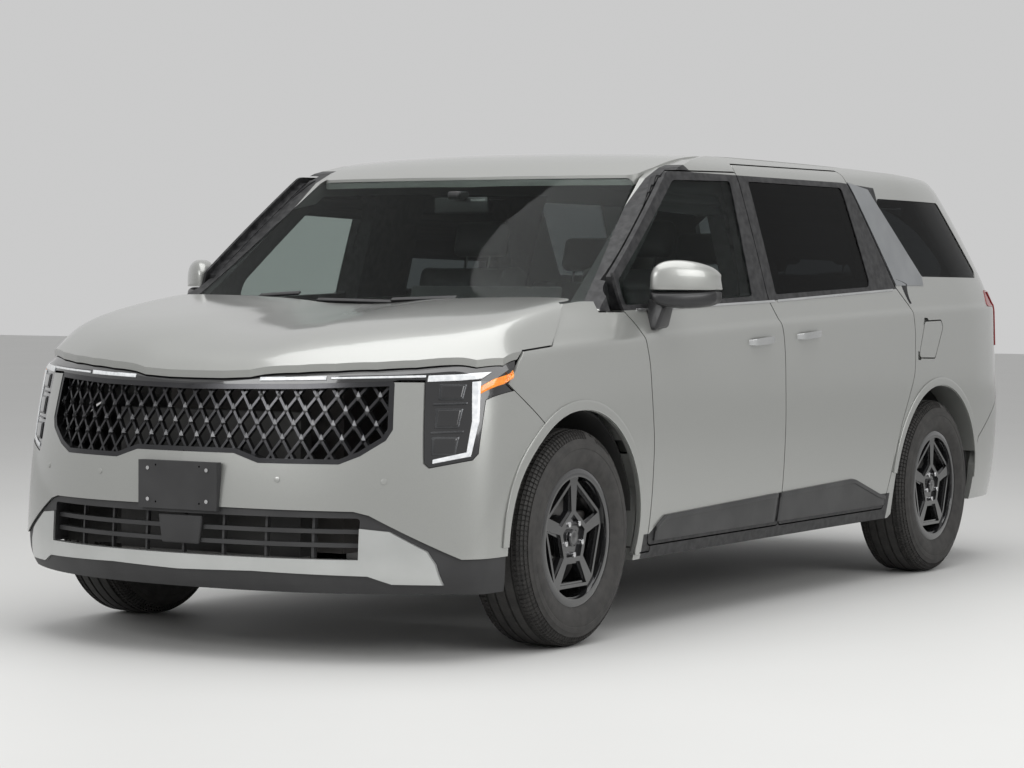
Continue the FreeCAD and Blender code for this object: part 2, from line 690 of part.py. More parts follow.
bonnet = bonnet_block.common(plan_prism(bonnet_plan, 0, start=850,
                                        end=1300)).cut(wing_room).cut(mirrored(wing_room))
BONNET_HINGE_Y = -1450.0
BONNET_HINGE_Z = 1108.0
ARM_X = 762.0
ARM_WIDTH = 22.0
ARM_SIDE = [(BONNET_HINGE_Y, BONNET_HINGE_Z - 10), (BONNET_HINGE_Y, BONNET_HINGE_Z + 10), (-1470, 1120),
            (-1520, 1134), (-1620, 1140), (-1620, 1098), (-1500, 1096)]
LUG_SIDE = [(-1330, 1050), (-1330, 1098), (-1438, 1119), (-1462, 1119), (-1462, 1096), (-1400, 1076)]
bonnet_pins = []
for x0 in (ARM_X, -ARM_X - ARM_WIDTH):
    arm = side_prism(ARM_SIDE, 0, start=x0, end=x0 + ARM_WIDTH)
    arm = arm.common(heights_block(bonnet_height, [x0 - 10, x0, x0 + 5, x0 + ARM_WIDTH + 10],
                                   [-1700, -1600, -1500, -1400, -1300], -4, -90))
    arm = arm.fuse(drum(x0, x0 + ARM_WIDTH, BONNET_HINGE_Y, BONNET_HINGE_Z, BARREL_RADIUS))
    bonnet = bonnet.fuse(arm).cut(drum(x0, x0 + ARM_WIDTH, BONNET_HINGE_Y, BONNET_HINGE_Z,
                                       PIN_RADIUS + RUNNING_FIT))
    lug_x = x0 - 14 if x0 > 0 else x0 + ARM_WIDTH + 2
    lug = side_prism(LUG_SIDE, 0, start=lug_x, end=lug_x + 12)
    pin = drum(min(lug_x, x0), max(lug_x + 12, x0 + ARM_WIDTH), BONNET_HINGE_Y, BONNET_HINGE_Z, PIN_RADIUS)
    bonnet_pins += [lug, pin]
bonnet = biggest(bonnet, 1e5)

# Front bumper, lamps and grilles, as outlines in the front view (x, z)
BAR_EDGE = [(0, 888), (403, 895), (686, 908)]
GRILLE = [(-686, 908), (-700, 753), (-684, 718), (-616, 668), (-555, 641), (-289, 640), (-197, 669),
          (197, 669),
          (289, 640), (555, 641), (616, 668), (684, 718), (700, 753), (686, 908), (403, 895), (0, 888),
          (-403, 895)]
LAMP = [(767, 911), (792, 647), (806, 633), (910, 658), (921, 677), (921, 848), (1010, 925), (1010, 1080),
        (690, 1080),
        (690, 911)]
BAND = [(-4, 496), (608, 492), (654, 480), (900, 340), (1100, 340), (1100, 180), (-4, 180)]
INTAKE = [(-625, 470), (625, 470), (625, 338), (-625, 338)]
VALANCE = [(-4, 338), (628, 338), (628, 438), (711, 429), (812, 366), (834, 324), (847, 257), (716, 260),
           (652, 286),
           (283, 294), (-4, 287)]
BUMPER_SIDE = [(-2700, 908), (-2068, 905), (-1848, 738), (-1700, 640), (-2000, 300), (-2700, 300)]
arch = drum(0, 1300, front_axle, wheel_height, size("arch_radius"))

BAR = BAR_EDGE + [(690, 911), (690, 1080), (-4, 1080), (-4, 888)]
bar_room = front_prism(BAR, 0, grow=size("seat_gap"))
bumper = fascia_band.common(side_prism(BUMPER_SIDE, 0, grow=-half)).cut(arch)
bumper = bumper.cut(front_prism(GRILLE, 12)).cut(front_prism(LAMP, 0, grow=half)).cut(front_prism(BAND, 0))
bumper = biggest(bumper.cut(bar_room), 1e5)
front_bumper = bumper.fuse(mirrored(bumper)).removeSplitter()

under_bonnet = heights_block(bonnet_height, both_ways([0, 140, 280, 430, 560, 680, 760, 820, 865, 905, 940,
                                                       975]),
                             [-2520, -2470, -2430, -2380, -2320, -2240, -2150, -2050, -1940, -1820, -1700,
                              -1570, -1440],
                             400, -size("bonnet_wall") - gap)
lamp = skin_wall(3, 60).common(front_prism(LAMP, 0, end=-1962)).cut(side_prism(FENDER, 0, grow=gap))
bar = skin_wall(3, 50).common(front_prism(BAR, 0, end=-2100))
lamps = biggest(lamp.fuse(bar).cut(under_bonnet), 1e5)
headlamps = lamps.fuse(mirrored(lamps)).removeSplitter()

valance = biggest(skin_wall(0, 30).common(front_prism(VALANCE, 0)), 1e5)
front_valance = valance.fuse(mirrored(valance)).removeSplitter()

LOW_TRIM = [(-4, 494), (606, 490), (652, 478), (897, 338), (1100, 338), (1100, 214), (850, 226), (-4, 226)]
INTAKE_WALL = 14.0
low_trim = skin_wall(8, 34).common(front_prism(LOW_TRIM, 0))
duct = skin_wall(30, 70).common(front_prism(INTAKE, 10, grow=INTAKE_WALL))
low_trim = low_trim.fuse(duct).cut(front_prism(INTAKE, 10))
for z in (382, 426):
    low_trim = low_trim.fuse(skin_wall(26, 50).common(box(-4, -2700, z - 7, 640, -2300, z + 7)))
for x in (0, 157, 314, 471):
    low_trim = low_trim.fuse(skin_wall(34, 50).common(box(x - 4, -2700, 330, x + 4, -2300, 476)))
low_trim = low_trim.cut(front_prism(VALANCE, 0, grow=0.5)).cut(arch)
low_trim = biggest(low_trim.common(box(0, -2700, 200, 1100, -1900, 600)), 1e5)
lower_grille = low_trim.fuse(mirrored(low_trim)).removeSplitter()

BRACKET_FACE = nose + 5.5
PLATE_X = 178.0 / 2
PLATE_Z = 120.65
PLATE_LOW = 502.0
bracket = box(-160, BRACKET_FACE, 481, 160, -2500, 638).cut(front_bumper).cut(lower_grille)
bracket = bracket.cut(box(-200, -2548, 400, 200, -2400, 700))
for x in (-PLATE_X, PLATE_X):
    for z in (PLATE_LOW, PLATE_LOW + PLATE_Z):
        hole = Part.makeCylinder(3.5, 100, Vector(x, BRACKET_FACE - 10, z), Vector(0, 1, 0))
        bracket = bracket.cut(hole)
        front_bumper = front_bumper.cut(hole)
bracket = biggest(bracket, 1000)

# Grille: a satin surround and a diamond lattice set back inside it
inner_wire = outline_wire(GRILLE, 12, lambda p: Vector(p.x, -2700, p.y)).makeOffset2D(-16)
grille_inside = Part.Face(inner_wire).extrude(Vector(0, 700, 0))
half_grille = [(-4, 669)] + [point for point in GRILLE if point[0] > 0] + [(-4, 888)]
surround_outer = front_prism(half_grille, 12, grow=-0.3)
surround = skin_wall(2, 40).common(surround_outer).cut(grille_inside)
surround = surround.fuse(mirrored(surround))
CELL_WIDTH = 64.0
CELL_HEIGHT = 92.0
RIB = 5.0
cells = []
for row in range(-1, 7):
    z = 626 + row * CELL_HEIGHT / 2
    for column in range(-12, 13):
        x = (column + 0.5 * (row % 2)) * CELL_WIDTH
        wide = CELL_WIDTH / 2 - RIB
        tall = CELL_HEIGHT / 2 - RIB * CELL_HEIGHT / CELL_WIDTH
        corners = [(x - wide, z), (x, z + tall), (x + wide, z), (x, z - tall)]
        points = [Vector(a, -2700, b) for a, b in corners]
        cells.append(Part.Face(Part.makePolygon(points + points[:1])))
lattice_face = Part.Face(inner_wire).cut(cells)
lattice_prism = lattice_face.extrude(Vector(0, 700, 0))
back_wall = skin_wall(20, 36)
lattice = back_wall.common(lattice_prism)
lattice = lattice.fuse(mirrored(lattice))
grille = surround.fuse(lattice)

# Tailgate and rear bumper
TAILGATE_WINDOW = [(-640, 1262), (-560, 1580), (560, 1580), (640, 1262)]
above_roof = heights_block(roof_height, both_ways([0, 300, 500, 700, 1000]), [1900, 2000, 2100, 2200, 2300,
                                                                              2400], 400, 0)
gate = door_band.common(side_prism(TAILGATE_CUT, 40, grow=-half))
deck = heights_block(roof_height, both_ways([0, 150, 320, 480, 600, 700]), [1900, 2000, 2100, 2200, 2300,
                                                                            2400], 0, -34)
deck_plan = [(-4, 2078 + half), (508, 2078 + half), (596, 2150), (588, 2225), (500, 2282), (300, 2302),
             (-4, 2308)]
deck = deck.common(plan_prism(deck_plan, [0, 10, 40, 40, 60, 60, 0], start=1500, end=1800))
gate_window = front_prism(TAILGATE_WINDOW, 50, start=1500, end=2700)
gate = biggest(gate.cut(gate_window).cut(above_roof).fuse(deck).common(box(0, 1700, 700, 1100, 2700, 1800)),
               1e5)
tailgate = gate.fuse(mirrored(gate)).removeSplitter()
for x in (-TAIL_HINGE_X, TAIL_HINGE_X):
    x0 = x - LUG_WIDTH / 2
    x1 = x + LUG_WIDTH / 2
    lug = heights_block(roof_height, [x0, x0 + 15, x0 + 30, x1], [2000, 2030, 2060, 2100, 2110], -4, -32)
    lug = lug.common(box(x0, TAIL_HINGE_Y, 1500, x1, 2100, 1800)).fuse(
        drum(x0, x1, TAIL_HINGE_Y, tail_hinge_z, BARREL_RADIUS + 3))
    tailgate = tailgate.fuse(lug).cut(drum(x0, x1, TAIL_HINGE_Y, tail_hinge_z, PIN_RADIUS + RUNNING_FIT))
gate_glass = glass_band.common(front_prism(TAILGATE_WINDOW, 50, start=1500, end=2700, grow=-0.3))
gate_glass = gate_glass.common(box(-1, 1800, 1200, 1000, 2700, 1650))
tailgate_glass = gate_glass.fuse(mirrored(gate_glass)).removeSplitter()

rear_half = fascia_band.common(side_prism(BUMPER_CUT, 0, grow=-half)).cut(
    drum(0, 1300, rear_axle_y, wheel_height, size("arch_radius"))).cut(box(-10, 1500, 100, 1300, 2700, 285))
rear_half = biggest(rear_half, 1e5)
rear_bumper = rear_half.fuse(mirrored(rear_half)).removeSplitter()

TAIL_LAMP = [(2040, 1136), (2068, 1208), (2190, 1208), (2232, 1136)]
tail_lamp = biggest(skin_wall(-3, 38).common(side_prism(TAIL_LAMP, 10)))
side = biggest(side.cut(skin_wall(-20, 38.3).common(side_prism(TAIL_LAMP, 10, grow=0.3))))

FUEL_FLAP = [(1289, 1076), (1459, 1079), (1482, 1049), (1398, 917), (1226, 921)]
flap = biggest(skin_wall(0, 10).common(side_prism(FUEL_FLAP, 20, grow=-half)))
right_side = mirrored(side)
FLAP_LIP = 2.6
FLAP_POCKET = 38.0
flap_mouth = skin_wall(-20, FLAP_LIP + 0.5).common(side_prism(FUEL_FLAP, 20, grow=half))
flap_pocket = skin_wall(FLAP_LIP, FLAP_POCKET).common(side_prism(FUEL_FLAP, 20, grow=half + 10))
side = biggest(side.cut(flap_mouth).cut(flap_pocket))
FLAP_PIN = 2.0
FLAP_BARREL = 5.0
FLAP_DEPTH = 13.5
FLAP_LEAN = math.atan2(1289 - 1226, 1076 - 921)
flap_y = 1270.6
flap_z = 994.1
flap_place = Placement(Vector(flank_x(flap_y, flap_z) - FLAP_DEPTH, flap_y, flap_z),
                       Rotation(Vector(1, 0, 0), -math.degrees(FLAP_LEAN)))
flap_barrel = Part.makeCylinder(FLAP_BARREL, 24, Vector(0, 0, -12))
flap_bore = Part.makeCylinder(FLAP_PIN + RUNNING_FIT, 24, Vector(0, 0, -12))
flap_pin = Part.makeCylinder(FLAP_PIN, 40, Vector(0, 0, -20))
for z in (-19, 13):
    flap_pin = flap_pin.fuse(box(-FLAP_POCKET, -3, z, 0, 3, z + 6))
for piece in (flap_barrel, flap_bore, flap_pin):
    piece.Placement = flap_place
for corner in ([(1272, 1060), (1330, 1060), (1330, 1079), (1312, 1090), (1280, 1090)],
               [(1218, 950), (1218, 915), (1226, 912), (1250, 912), (1250, 930), (1240, 945)]):
    side = side.cut(side_prism(corner, 0, start=960, end=1010))
side = biggest(side)
flap = flap.fuse(flap_barrel).cut(flap_bore)
side = side.fuse(flap_pin)

# Garnish on the pillar ahead of the quarter glass
garnish = biggest(skin_wall(-3, -0.3).common(side_prism(GARNISH, 0)))

# Mirror
mirror_head = Part.makeBox(190, 170, 165, Vector(965, -1240, 1135))
mirror_head = mirror_head.makeFillet(50,
                                     [e for e in mirror_head.Edges if abs(e.Vertexes[0].Z - e.Vertexes[1].Z) > 1])
mirror_head = mirror_head.makeFillet(30, [e for e in mirror_head.Edges if e.CenterOfMass.z > 1299])
mirror_foot = Part.makeBox(75, 60, 90, Vector(948, -1190, 1075))
mirror = mirror_head.fuse(mirror_foot).cut(door_band)
mirror = biggest(mirror)

# Floor, sills' inner walls, bulkhead and wheelhouses
floor_z = size("floor_height")
floor_wall = size("floor_wall")
REAR_STEP = 1010.0
REAR_FLOOR = 470.0
FRONT_FLOOR_PLAN = [(-520, -1320), (-520, -1195), (-860, -1195), (-860, REAR_STEP + 30),
                    (860, REAR_STEP + 30),
                    (860, -1195), (520, -1195), (520, -1320)]
REAR_FLOOR_PLAN = [(-860, REAR_STEP), (-860, 1980), (-780, 2220), (-640, 2400), (640, 2400), (780, 2220),
                   (860, 1980), (860, REAR_STEP)]
floor = plan_prism(FRONT_FLOOR_PLAN, 0, start=floor_z, end=floor_z + floor_wall)
floor = floor.fuse(box(-860, REAR_STEP, floor_z, 860, REAR_STEP + 30, REAR_FLOOR + floor_wall))
floor = floor.fuse(plan_prism(REAR_FLOOR_PLAN, 0, start=REAR_FLOOR, end=REAR_FLOOR + floor_wall))
liner = size("arch_radius") + 4
LINER_WALL = 8.0
REAR_HOUSE = 690.0
FRONT_HOUSE = 535.0
for y, inner, low, high in ((rear_axle_y, REAR_HOUSE, 0, 2440), (front_axle, FRONT_HOUSE, -2440, -1200)):
    tub = drum(inner, 940, y, wheel_height, liner + LINER_WALL).cut(
        drum(inner + LINER_WALL, 1000, y, wheel_height, liner))
    tub = tub.common(box(0, low, floor_z, 1000, high, 1300))
    for piece in (tub, mirrored(tub)):
        floor = floor.fuse(piece)
    for x0, x1 in ((inner + LINER_WALL, 1000), (-1000, -inner - LINER_WALL)):
        floor = floor.cut(drum(x0, x1, y, wheel_height, liner))
bulkhead = box(-530, -1340, floor_z, 530, -1320, 1098).fuse(box(-790, -1340, 830, 790, -1320, 1098))
floor = floor.fuse(bulkhead)
for sign in (1, -1):
    rail = box(475, -2250, 480, 535, -1320, 560)
    floor = floor.fuse(rail if sign > 0 else mirrored(rail))
floor = floor.cut(drum(-800, 800, rear_axle_y, wheel_height, 60))
floor = floor.fuse(bonnet_pins)
for cutter in (side, fender):
    floor = floor.cut(cutter).cut(mirrored(cutter))
floor = floor.cut(front_bumper).cut(rear_bumper).cut(lower_grille)
floor = biggest(floor, 1e6)

cowl = plan_prism([(-735, -1440), (-735, -1330), (735, -1330), (735, -1440), (400, -1490), (-400, -1490)], 0,
                  start=1098 + size("seat_gap"), end=1126)

block("engine", Vector(-size("engine_width") / 2, -2140, size("engine_floor")), "Dimensions.engine_width",
      "Dimensions.engine_length", "Dimensions.engine_height")
block("radiator", Vector(-size("radiator_width") / 2, -2400, size("radiator_floor")),
      "Dimensions.radiator_width",
      "Dimensions.radiator_wall", "Dimensions.radiator_height")
KINGPIN = 825.0
BALL_RADIUS = 12.0
subframe = box(-420, -2000, 215, 420, -1420, 275)
half_frame = box(0, -2360, 230, 300, -2330, 262).fuse(box(250, -2360, 230, 300, -1980, 262))
half_frame = half_frame.fuse(box(0, -2410, 262, 360, -2330, size("radiator_floor") - size("seat_gap")))
half_frame = half_frame.fuse(box(400, front_axle - 55, 225, KINGPIN - 30, front_axle + 55, 258))
half_frame = half_frame.fuse(plan_prism([(KINGPIN - 40, front_axle - 55), (KINGPIN, front_axle - 22),
                                         (KINGPIN, front_axle + 22), (KINGPIN - 40, front_axle + 55)], 0,
                                         225, 258))
half_frame = half_frame.fuse(Part.makeCylinder(22, 33, Vector(KINGPIN, front_axle, 225)))
half_frame = half_frame.fuse(Part.makeCylinder(BALL_RADIUS, 70, Vector(KINGPIN, front_axle, 230)))
half_frame = half_frame.fuse(box(250, -1960, 275, 330, -1880, size("engine_floor") - size("seat_gap")))
half_frame = half_frame.fuse(box(360, -2000, 275, 420, -1940, 400)).fuse(
    box(360, -2000, 400, 535, -1940, 480 - size("seat_gap")))
half_frame = half_frame.fuse(box(340, -1440, 240, 420, -1240, floor_z - size("seat_gap")))
subframe = subframe.fuse(half_frame).fuse(mirrored(half_frame)).removeSplitter()

dash_front = -1320 + size("seat_gap")
dash = side_prism([(dash_front, 1120), (-1060, 1090), (-1000, 1010), (-1050, 760), (dash_front, 760)],
                  [0, 30, 30, 30, 0], start=-745, end=745)

wheel_ring = Part.makeTorus(size("steering_wheel_radius"), 15, Vector(0, 0, 0), Vector(0, 0, 1))
wheel_ring = wheel_ring.fuse(Part.makeCylinder(62, 40, Vector(0, 0, -25)))
for angle in (0, 180, 270):
    spoke = Part.makeBox(175, 34, 14, Vector(0, -17, -10))
    spoke.rotate(Vector(0, 0, 0), Vector(0, 0, 1), angle)
    wheel_ring = wheel_ring.fuse(spoke)
wheel_ring = wheel_ring.fuse(Part.makeCylinder(24, 110, Vector(0, 0, -130)))
WHEEL_TILT = -62.0
steering_place = Placement(Vector(380, -880, 1010), Rotation(Vector(1, 0, 0), WHEEL_TILT))
wheel_ring.Placement = steering_place
column = Part.makeCylinder(42, 190, Vector(0, 0, -235))
column_bore = Part.makeCylinder(24.05, 100, Vector(0, 0, -135))
for piece in (column, column_bore):
    piece.Placement = steering_place
dash = dash.fuse(column).cut(column_bore)


def seat(x, y, width, height=300.0, stand=floor_z):
    """One seat: cushion on a plinth, back and head restraint."""
    depth = size("seat_depth")
    cushion = size("seat_cushion")
    base = stand + size("floor_wall")
    body = box(x - width / 2, y - depth, base + height, x + width / 2, y, base + height + cushion)
    body = body.fuse(box(x - width / 2 + 60, y - depth + 60, base, x + width / 2 - 60, y - 60, base + height))
    back = box(x - width / 2, y - 40, base + height + 40, x + width / 2, y - 40 + size("seat_back_wall"),
               base + height + 40 + size("seat_back_height"))
    head = box(x - 130, y - 20, base + height + 60 + size("seat_back_height"), x + 130, y + 70,
               base + height + 230 + size("seat_back_height"))
    post = box(x - 60, y + 15, base + height + 20 + size("seat_back_height"), x + 60, y + 30,
               base + height + 80 + size("seat_back_height"))
    upper = back.fuse(head).fuse(post)
    upper.rotate(Vector(x, y, base + height + 40), Vector(1, 0, 0), -18)
    return body.fuse(upper)


front_seats = [seat(380, -330, 520), seat(-380, -330, 520)]
rear_seats = [seat(420, 620, 520, 250), seat(-420, 620, 520, 250), seat(0, 1640, 1180, 120, REAR_FLOOR)]

# Underbody
block("fuel_tank", Vector(-300, 150, size("tank_floor")), "Dimensions.tank_width", "Dimensions.tank_length",
      "Dimensions.floor_height - Dimensions.tank_floor - Dimensions.seat_gap")
exhaust = box(-620, 1900, 210, -150, 2250, 350).fuse(
    Part.makeCylinder(size("exhaust_radius"), 2900, Vector(-420, -1000, 245), Vector(0, 1, 0)))
for y in (-700, 100, 800):
    exhaust = exhaust.fuse(box(-430, y, 270, -410, y + 30, floor_z - size("seat_gap")))
for x in (-560, -240):
    exhaust = exhaust.fuse(box(x, 2050, 340, x + 20, 2080, REAR_FLOOR - size("seat_gap")))

# Wheels
wheel_z = size("tyre_radius")


TYRE_PROFILE = [
    ("-Dimensions.rim_width / 2 - 2", "Dimensions.rim_flange_radius"),
    ("-Dimensions.tyre_width / 2", "Dimensions.rim_flange_radius + 45"),
    ("-Dimensions.tyre_width / 2 + 4", "Dimensions.tyre_radius - 40"),
    ("-Dimensions.tyre_width / 2 + 22", "Dimensions.tyre_radius - 10"),
    ("-Dimensions.tyre_width / 2 + 60", "Dimensions.tyre_radius"),
    ("Dimensions.tyre_width / 2 - 60", "Dimensions.tyre_radius"),
    ("Dimensions.tyre_width / 2 - 22", "Dimensions.tyre_radius - 10"),
    ("Dimensions.tyre_width / 2 - 4", "Dimensions.tyre_radius - 40"),
    ("Dimensions.tyre_width / 2", "Dimensions.rim_flange_radius + 45"),
    ("Dimensions.rim_width / 2 + 2", "Dimensions.rim_flange_radius"),
    ("Dimensions.rim_width / 2 - 4", "Dimensions.rim_flange_radius - 4"),
    ("Dimensions.rim_width / 2 - 4", "Dimensions.rim_seat_radius + 0.3"),
    ("-Dimensions.rim_width / 2 + 4", "Dimensions.rim_seat_radius + 0.3"),
    ("-Dimensions.rim_width / 2 + 4", "Dimensions.rim_flange_radius - 4"),
]


def rim_form():
    """Rim about the X axis, outer side towards +X: barrel, five spokes, hub and disc."""
    seat_r = size("rim_seat_radius")
    flange = size("rim_flange_radius")
    half_rim = size("rim_width") / 2
    rim_profile = [(-half_rim + 3.5, seat_r), (half_rim - 3.5, seat_r), (half_rim - 3.5, flange - 5),
                   (half_rim + 4, flange - 2), (half_rim + 7, flange - 8), (half_rim + 5, seat_r - 10),
                   (half_rim - 10, seat_r - 14), (-half_rim + 4, seat_r - 12), (-half_rim - 5, seat_r - 6),
                   (-half_rim - 7, flange - 8), (-half_rim - 4, flange - 2), (-half_rim + 3.5, flange - 5)]
    points = [Vector(x, 0, r) for x, r in rim_profile]
    rim = Part.Face(Part.makePolygon(points + points[:1])).revolve(Vector(0, 0, 0), Vector(1, 0, 0), 360)
    hub = Part.makeCylinder(size("hub_radius"), 60, Vector(size("rim_offset") - 60, 0, 0), Vector(1, 0, 0))
    rim = rim.fuse(hub)
    for index in range(5):
        spoke = Part.makeBox(24, 70, 158, Vector(size("rim_offset") - 28, -35, 50))
        spoke.rotate(Vector(0, 0, 0), Vector(1, 0, 0), 72 * index)
        rim = rim.fuse(spoke)
    rim = rim.cut(Part.makeCylinder(size("stub_radius"), 300, Vector(-200, 0, 0), Vector(1, 0, 0)))
    cap = Part.makeCylinder(size("stub_radius"), 10, Vector(size("rim_offset") - 10, 0, 0), Vector(1, 0, 0))
    rim = rim.fuse(cap)
    disc = Part.makeCylinder(165, 24, Vector(-12, 0, 0), Vector(1, 0, 0)).cut(
        Part.makeCylinder(size("stub_radius"), 300, Vector(-200, 0, 0), Vector(1, 0, 0)))
    bell = Part.makeCylinder(size("hub_radius"), 60, Vector(-12, 0, 0), Vector(1, 0, 0)).cut(
        Part.makeCylinder(size("stub_radius"), 300, Vector(-200, 0, 0), Vector(1, 0, 0)))
    return rim.fuse(bell).fuse(disc)


rim_shape = rim_form()
track = size("track_half")
WHEELS = [("front_left", 1, front_axle), ("front_right", -1, front_axle), ("rear_left", 1, rear_axle_y),
          ("rear_right", -1, rear_axle_y)]
for place_name, sign, y in WHEELS:
    turn = Rotation(Vector(0, 0, 1), 0 if sign > 0 else 180)
    place = Placement(Vector(sign * track, y, wheel_z), turn)
    turned_body("tyre_" + place_name, TYRE_PROFILE, place)
    node("rim_" + place_name, rim_shape).Placement = place


def stub(sign, y):
    """The fixed stub a wheel turns on."""
    pin = Part.makeCylinder(size("stub_radius") - 0.05, 100, Vector(-40, 0, 0), Vector(1, 0, 0))
    carrier = Part.makeCylinder(58, 55, Vector(-85, 0, 0), Vector(1, 0, 0))
    piece = pin.fuse(carrier)
    if sign < 0:
        piece = mirrored(piece)
    piece.translate(Vector(sign * track, y, wheel_z))
    return piece


for side_name, sign in (("left", 1), ("right", -1)):
    knuckle = stub(sign, front_axle)
    post = Part.makeCylinder(20, 60, Vector(KINGPIN, front_axle, 260)).cut(
        Part.makeCylinder(BALL_RADIUS + RUNNING_FIT, 50, Vector(KINGPIN, front_axle, 255)))
    post = post.fuse(box(KINGPIN - 55, front_axle - 26, 300, KINGPIN, front_axle + 26, 330)).cut(
        Part.makeCylinder(BALL_RADIUS + RUNNING_FIT, 50, Vector(KINGPIN, front_axle, 255)))
    steering_arm = box(KINGPIN - 50, front_axle, 380, KINGPIN - 25, front_axle + 130, 400)
    post = post.fuse(steering_arm)
    knuckle = knuckle.fuse(post if sign > 0 else mirrored(post))
    node("knuckle_%s" % side_name, knuckle)
ARM_OUTLINE = [(950, 250), (950, floor_z - size("seat_gap")), (REAR_STEP + 34, floor_z - size("seat_gap")),
               (rear_axle_y, 408), (rear_axle_y, 330), (1040, 250)]
rear_beam = drum(-785, 785, rear_axle_y, wheel_z, 42).fuse(stub(1, rear_axle_y)).fuse(stub(-1, rear_axle_y))
for x in (-560, 500):
    rear_beam = rear_beam.fuse(side_prism(ARM_OUTLINE, 0, start=x, end=x + 60))
node("rear_axle", rear_beam)

node("front_door_left", front_door)
node("front_door_right", mirrored(front_door))
node("front_door_glass_left", front_glass)
node("front_door_glass_right", mirrored(front_glass))
node("mirror_left", mirror)
node("mirror_right", mirrored(mirror))
node("sliding_door_left", sliding_door)
node("sliding_door_right", mirrored(sliding_door))
node("side_glass", Part.makeCompound([sliding_glass, mirrored(sliding_glass), quarter_glass,
                                      mirrored(quarter_glass)]))
node("body_side_left", side)
node("body_side_right", right_side)
node("fender_left", fender)
node("fender_right", mirrored(fender))
node("roof_panel", roof)
node("windscreen", windscreen)
node("bonnet", bonnet)
node("front_bumper", front_bumper)
node("headlamps", headlamps)
node("front_valance", front_valance)
node("lower_grille", lower_grille)
node("grille", grille)
node("plate_bracket", bracket)
node("tailgate", tailgate)
node("tailgate_glass", tailgate_glass)
node("rear_bumper", rear_bumper)
node("tail_lamps", Part.makeCompound([tail_lamp, mirrored(tail_lamp)]))
node("fuel_flap", flap)
node("pillar_garnish", Part.makeCompound([garnish, mirrored(garnish)]))
node("floor_pan", floor)
node("cowl_and_wipers", cowl)
node("front_subframe", subframe)
node("dashboard", dash)
node("steering_wheel", wheel_ring)
node("front_seats", Part.makeCompound(front_seats))
node("rear_seats", Part.makeCompound(rear_seats))
node("exhaust", exhaust)

doc.recompute()
os.makedirs("parts", exist_ok=True)
for feature in doc.Objects:
    if "Invalid" in feature.State or "Error" in feature.State:
        raise RuntimeError("%s did not recompute" % feature.Label)
for feature in NODES:
    if feature.Shape.isNull() or not feature.Shape.isValid():
        raise RuntimeError("%s has no valid shape" % feature.Label)
for feature in NODES:
    feature.Shape.exportStep("parts/%s.step" % feature.Label)
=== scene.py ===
import bpy
from math import atan2, copysign, cos, hypot, pi, radians, sin, tan
from mathutils import Matrix, Vector


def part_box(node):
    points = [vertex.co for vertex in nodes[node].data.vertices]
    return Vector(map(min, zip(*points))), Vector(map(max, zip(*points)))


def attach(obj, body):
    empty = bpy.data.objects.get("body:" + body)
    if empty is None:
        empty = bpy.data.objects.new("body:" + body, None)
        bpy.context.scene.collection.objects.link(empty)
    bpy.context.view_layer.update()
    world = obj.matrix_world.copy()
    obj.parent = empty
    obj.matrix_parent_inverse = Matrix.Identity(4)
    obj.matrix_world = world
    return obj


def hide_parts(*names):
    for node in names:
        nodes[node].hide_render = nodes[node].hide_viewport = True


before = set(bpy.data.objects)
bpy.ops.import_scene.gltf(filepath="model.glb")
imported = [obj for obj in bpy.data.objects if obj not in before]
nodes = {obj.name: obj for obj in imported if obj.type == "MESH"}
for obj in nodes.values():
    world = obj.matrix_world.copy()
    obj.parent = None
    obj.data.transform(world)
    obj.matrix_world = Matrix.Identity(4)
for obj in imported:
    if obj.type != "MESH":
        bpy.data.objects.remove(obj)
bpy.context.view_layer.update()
bpy.ops.object.select_all(action="DESELECT")

# Studio
# The car stands on a pale floor under three soft lights: a broad one overhead, one beside
# the flank that the camera sees and one ahead of the nose. The camera is fitted to the photo.
FLOOR_SIZE = 80
FLOOR_ROUGHNESS = 0.55
FLOOR_PALE = (0.6, 0.6, 0.59, 1)
FLOOR_COLOUR = (0.56, 0.56, 0.55, 1)
SKY_COLOUR = (0.93, 0.93, 0.93, 1)
SKY_STRENGTH = 0.64
CAMERA_PLACE = (5.7064, -9.9299, 1.2176)
CAMERA_AZIMUTH = radians(31.075)
CAMERA_ELEVATION = radians(1.993)
CAMERA_ROLL = radians(0.355)
CAMERA_LENS = 99.92
CAMERA_SENSOR = 36
scene = bpy.context.scene
scene.view_settings.view_transform = "Standard"


def blank_material(name):
    """A new node material and its shader, ready for textures."""
    material = bpy.data.materials.new(name)
    material.use_nodes = True
    return material, material.node_tree, material.node_tree.nodes["Principled BSDF"]


def set_values(node, values):
    """Sets a node's unlinked inputs by name."""
    for socket, value in values.items():
        node.inputs[socket].default_value = value


def new_node(tree, kind, values, **links):
    """A shader node with its values set and its inputs linked."""
    node = tree.nodes.new("ShaderNode" + kind)
    set_values(node, values)
    for socket, source in links.items():
        tree.links.new(source, node.inputs[socket])
    return node


bpy.ops.mesh.primitive_plane_add(size=FLOOR_SIZE, location=(0, 0, 0))
floor = bpy.context.object
floor.name = "studio_floor"
material, tree, shader = blank_material("studio_floor_paint")
place = new_node(tree, "TexCoord", {})
mottle = new_node(tree, "TexNoise", {"Scale": 0.6, "Detail": 6}, Vector=place.outputs["Object"])
shades = new_node(tree, "ValToRGB", {}, Fac=mottle.outputs["Fac"])
shades.color_ramp.elements[0].color = FLOOR_PALE
shades.color_ramp.elements[1].color = FLOOR_COLOUR
tree.links.new(shades.outputs["Color"], shader.inputs["Base Color"])
set_values(shader, {"Roughness": FLOOR_ROUGHNESS})
floor.data.materials.append(material)

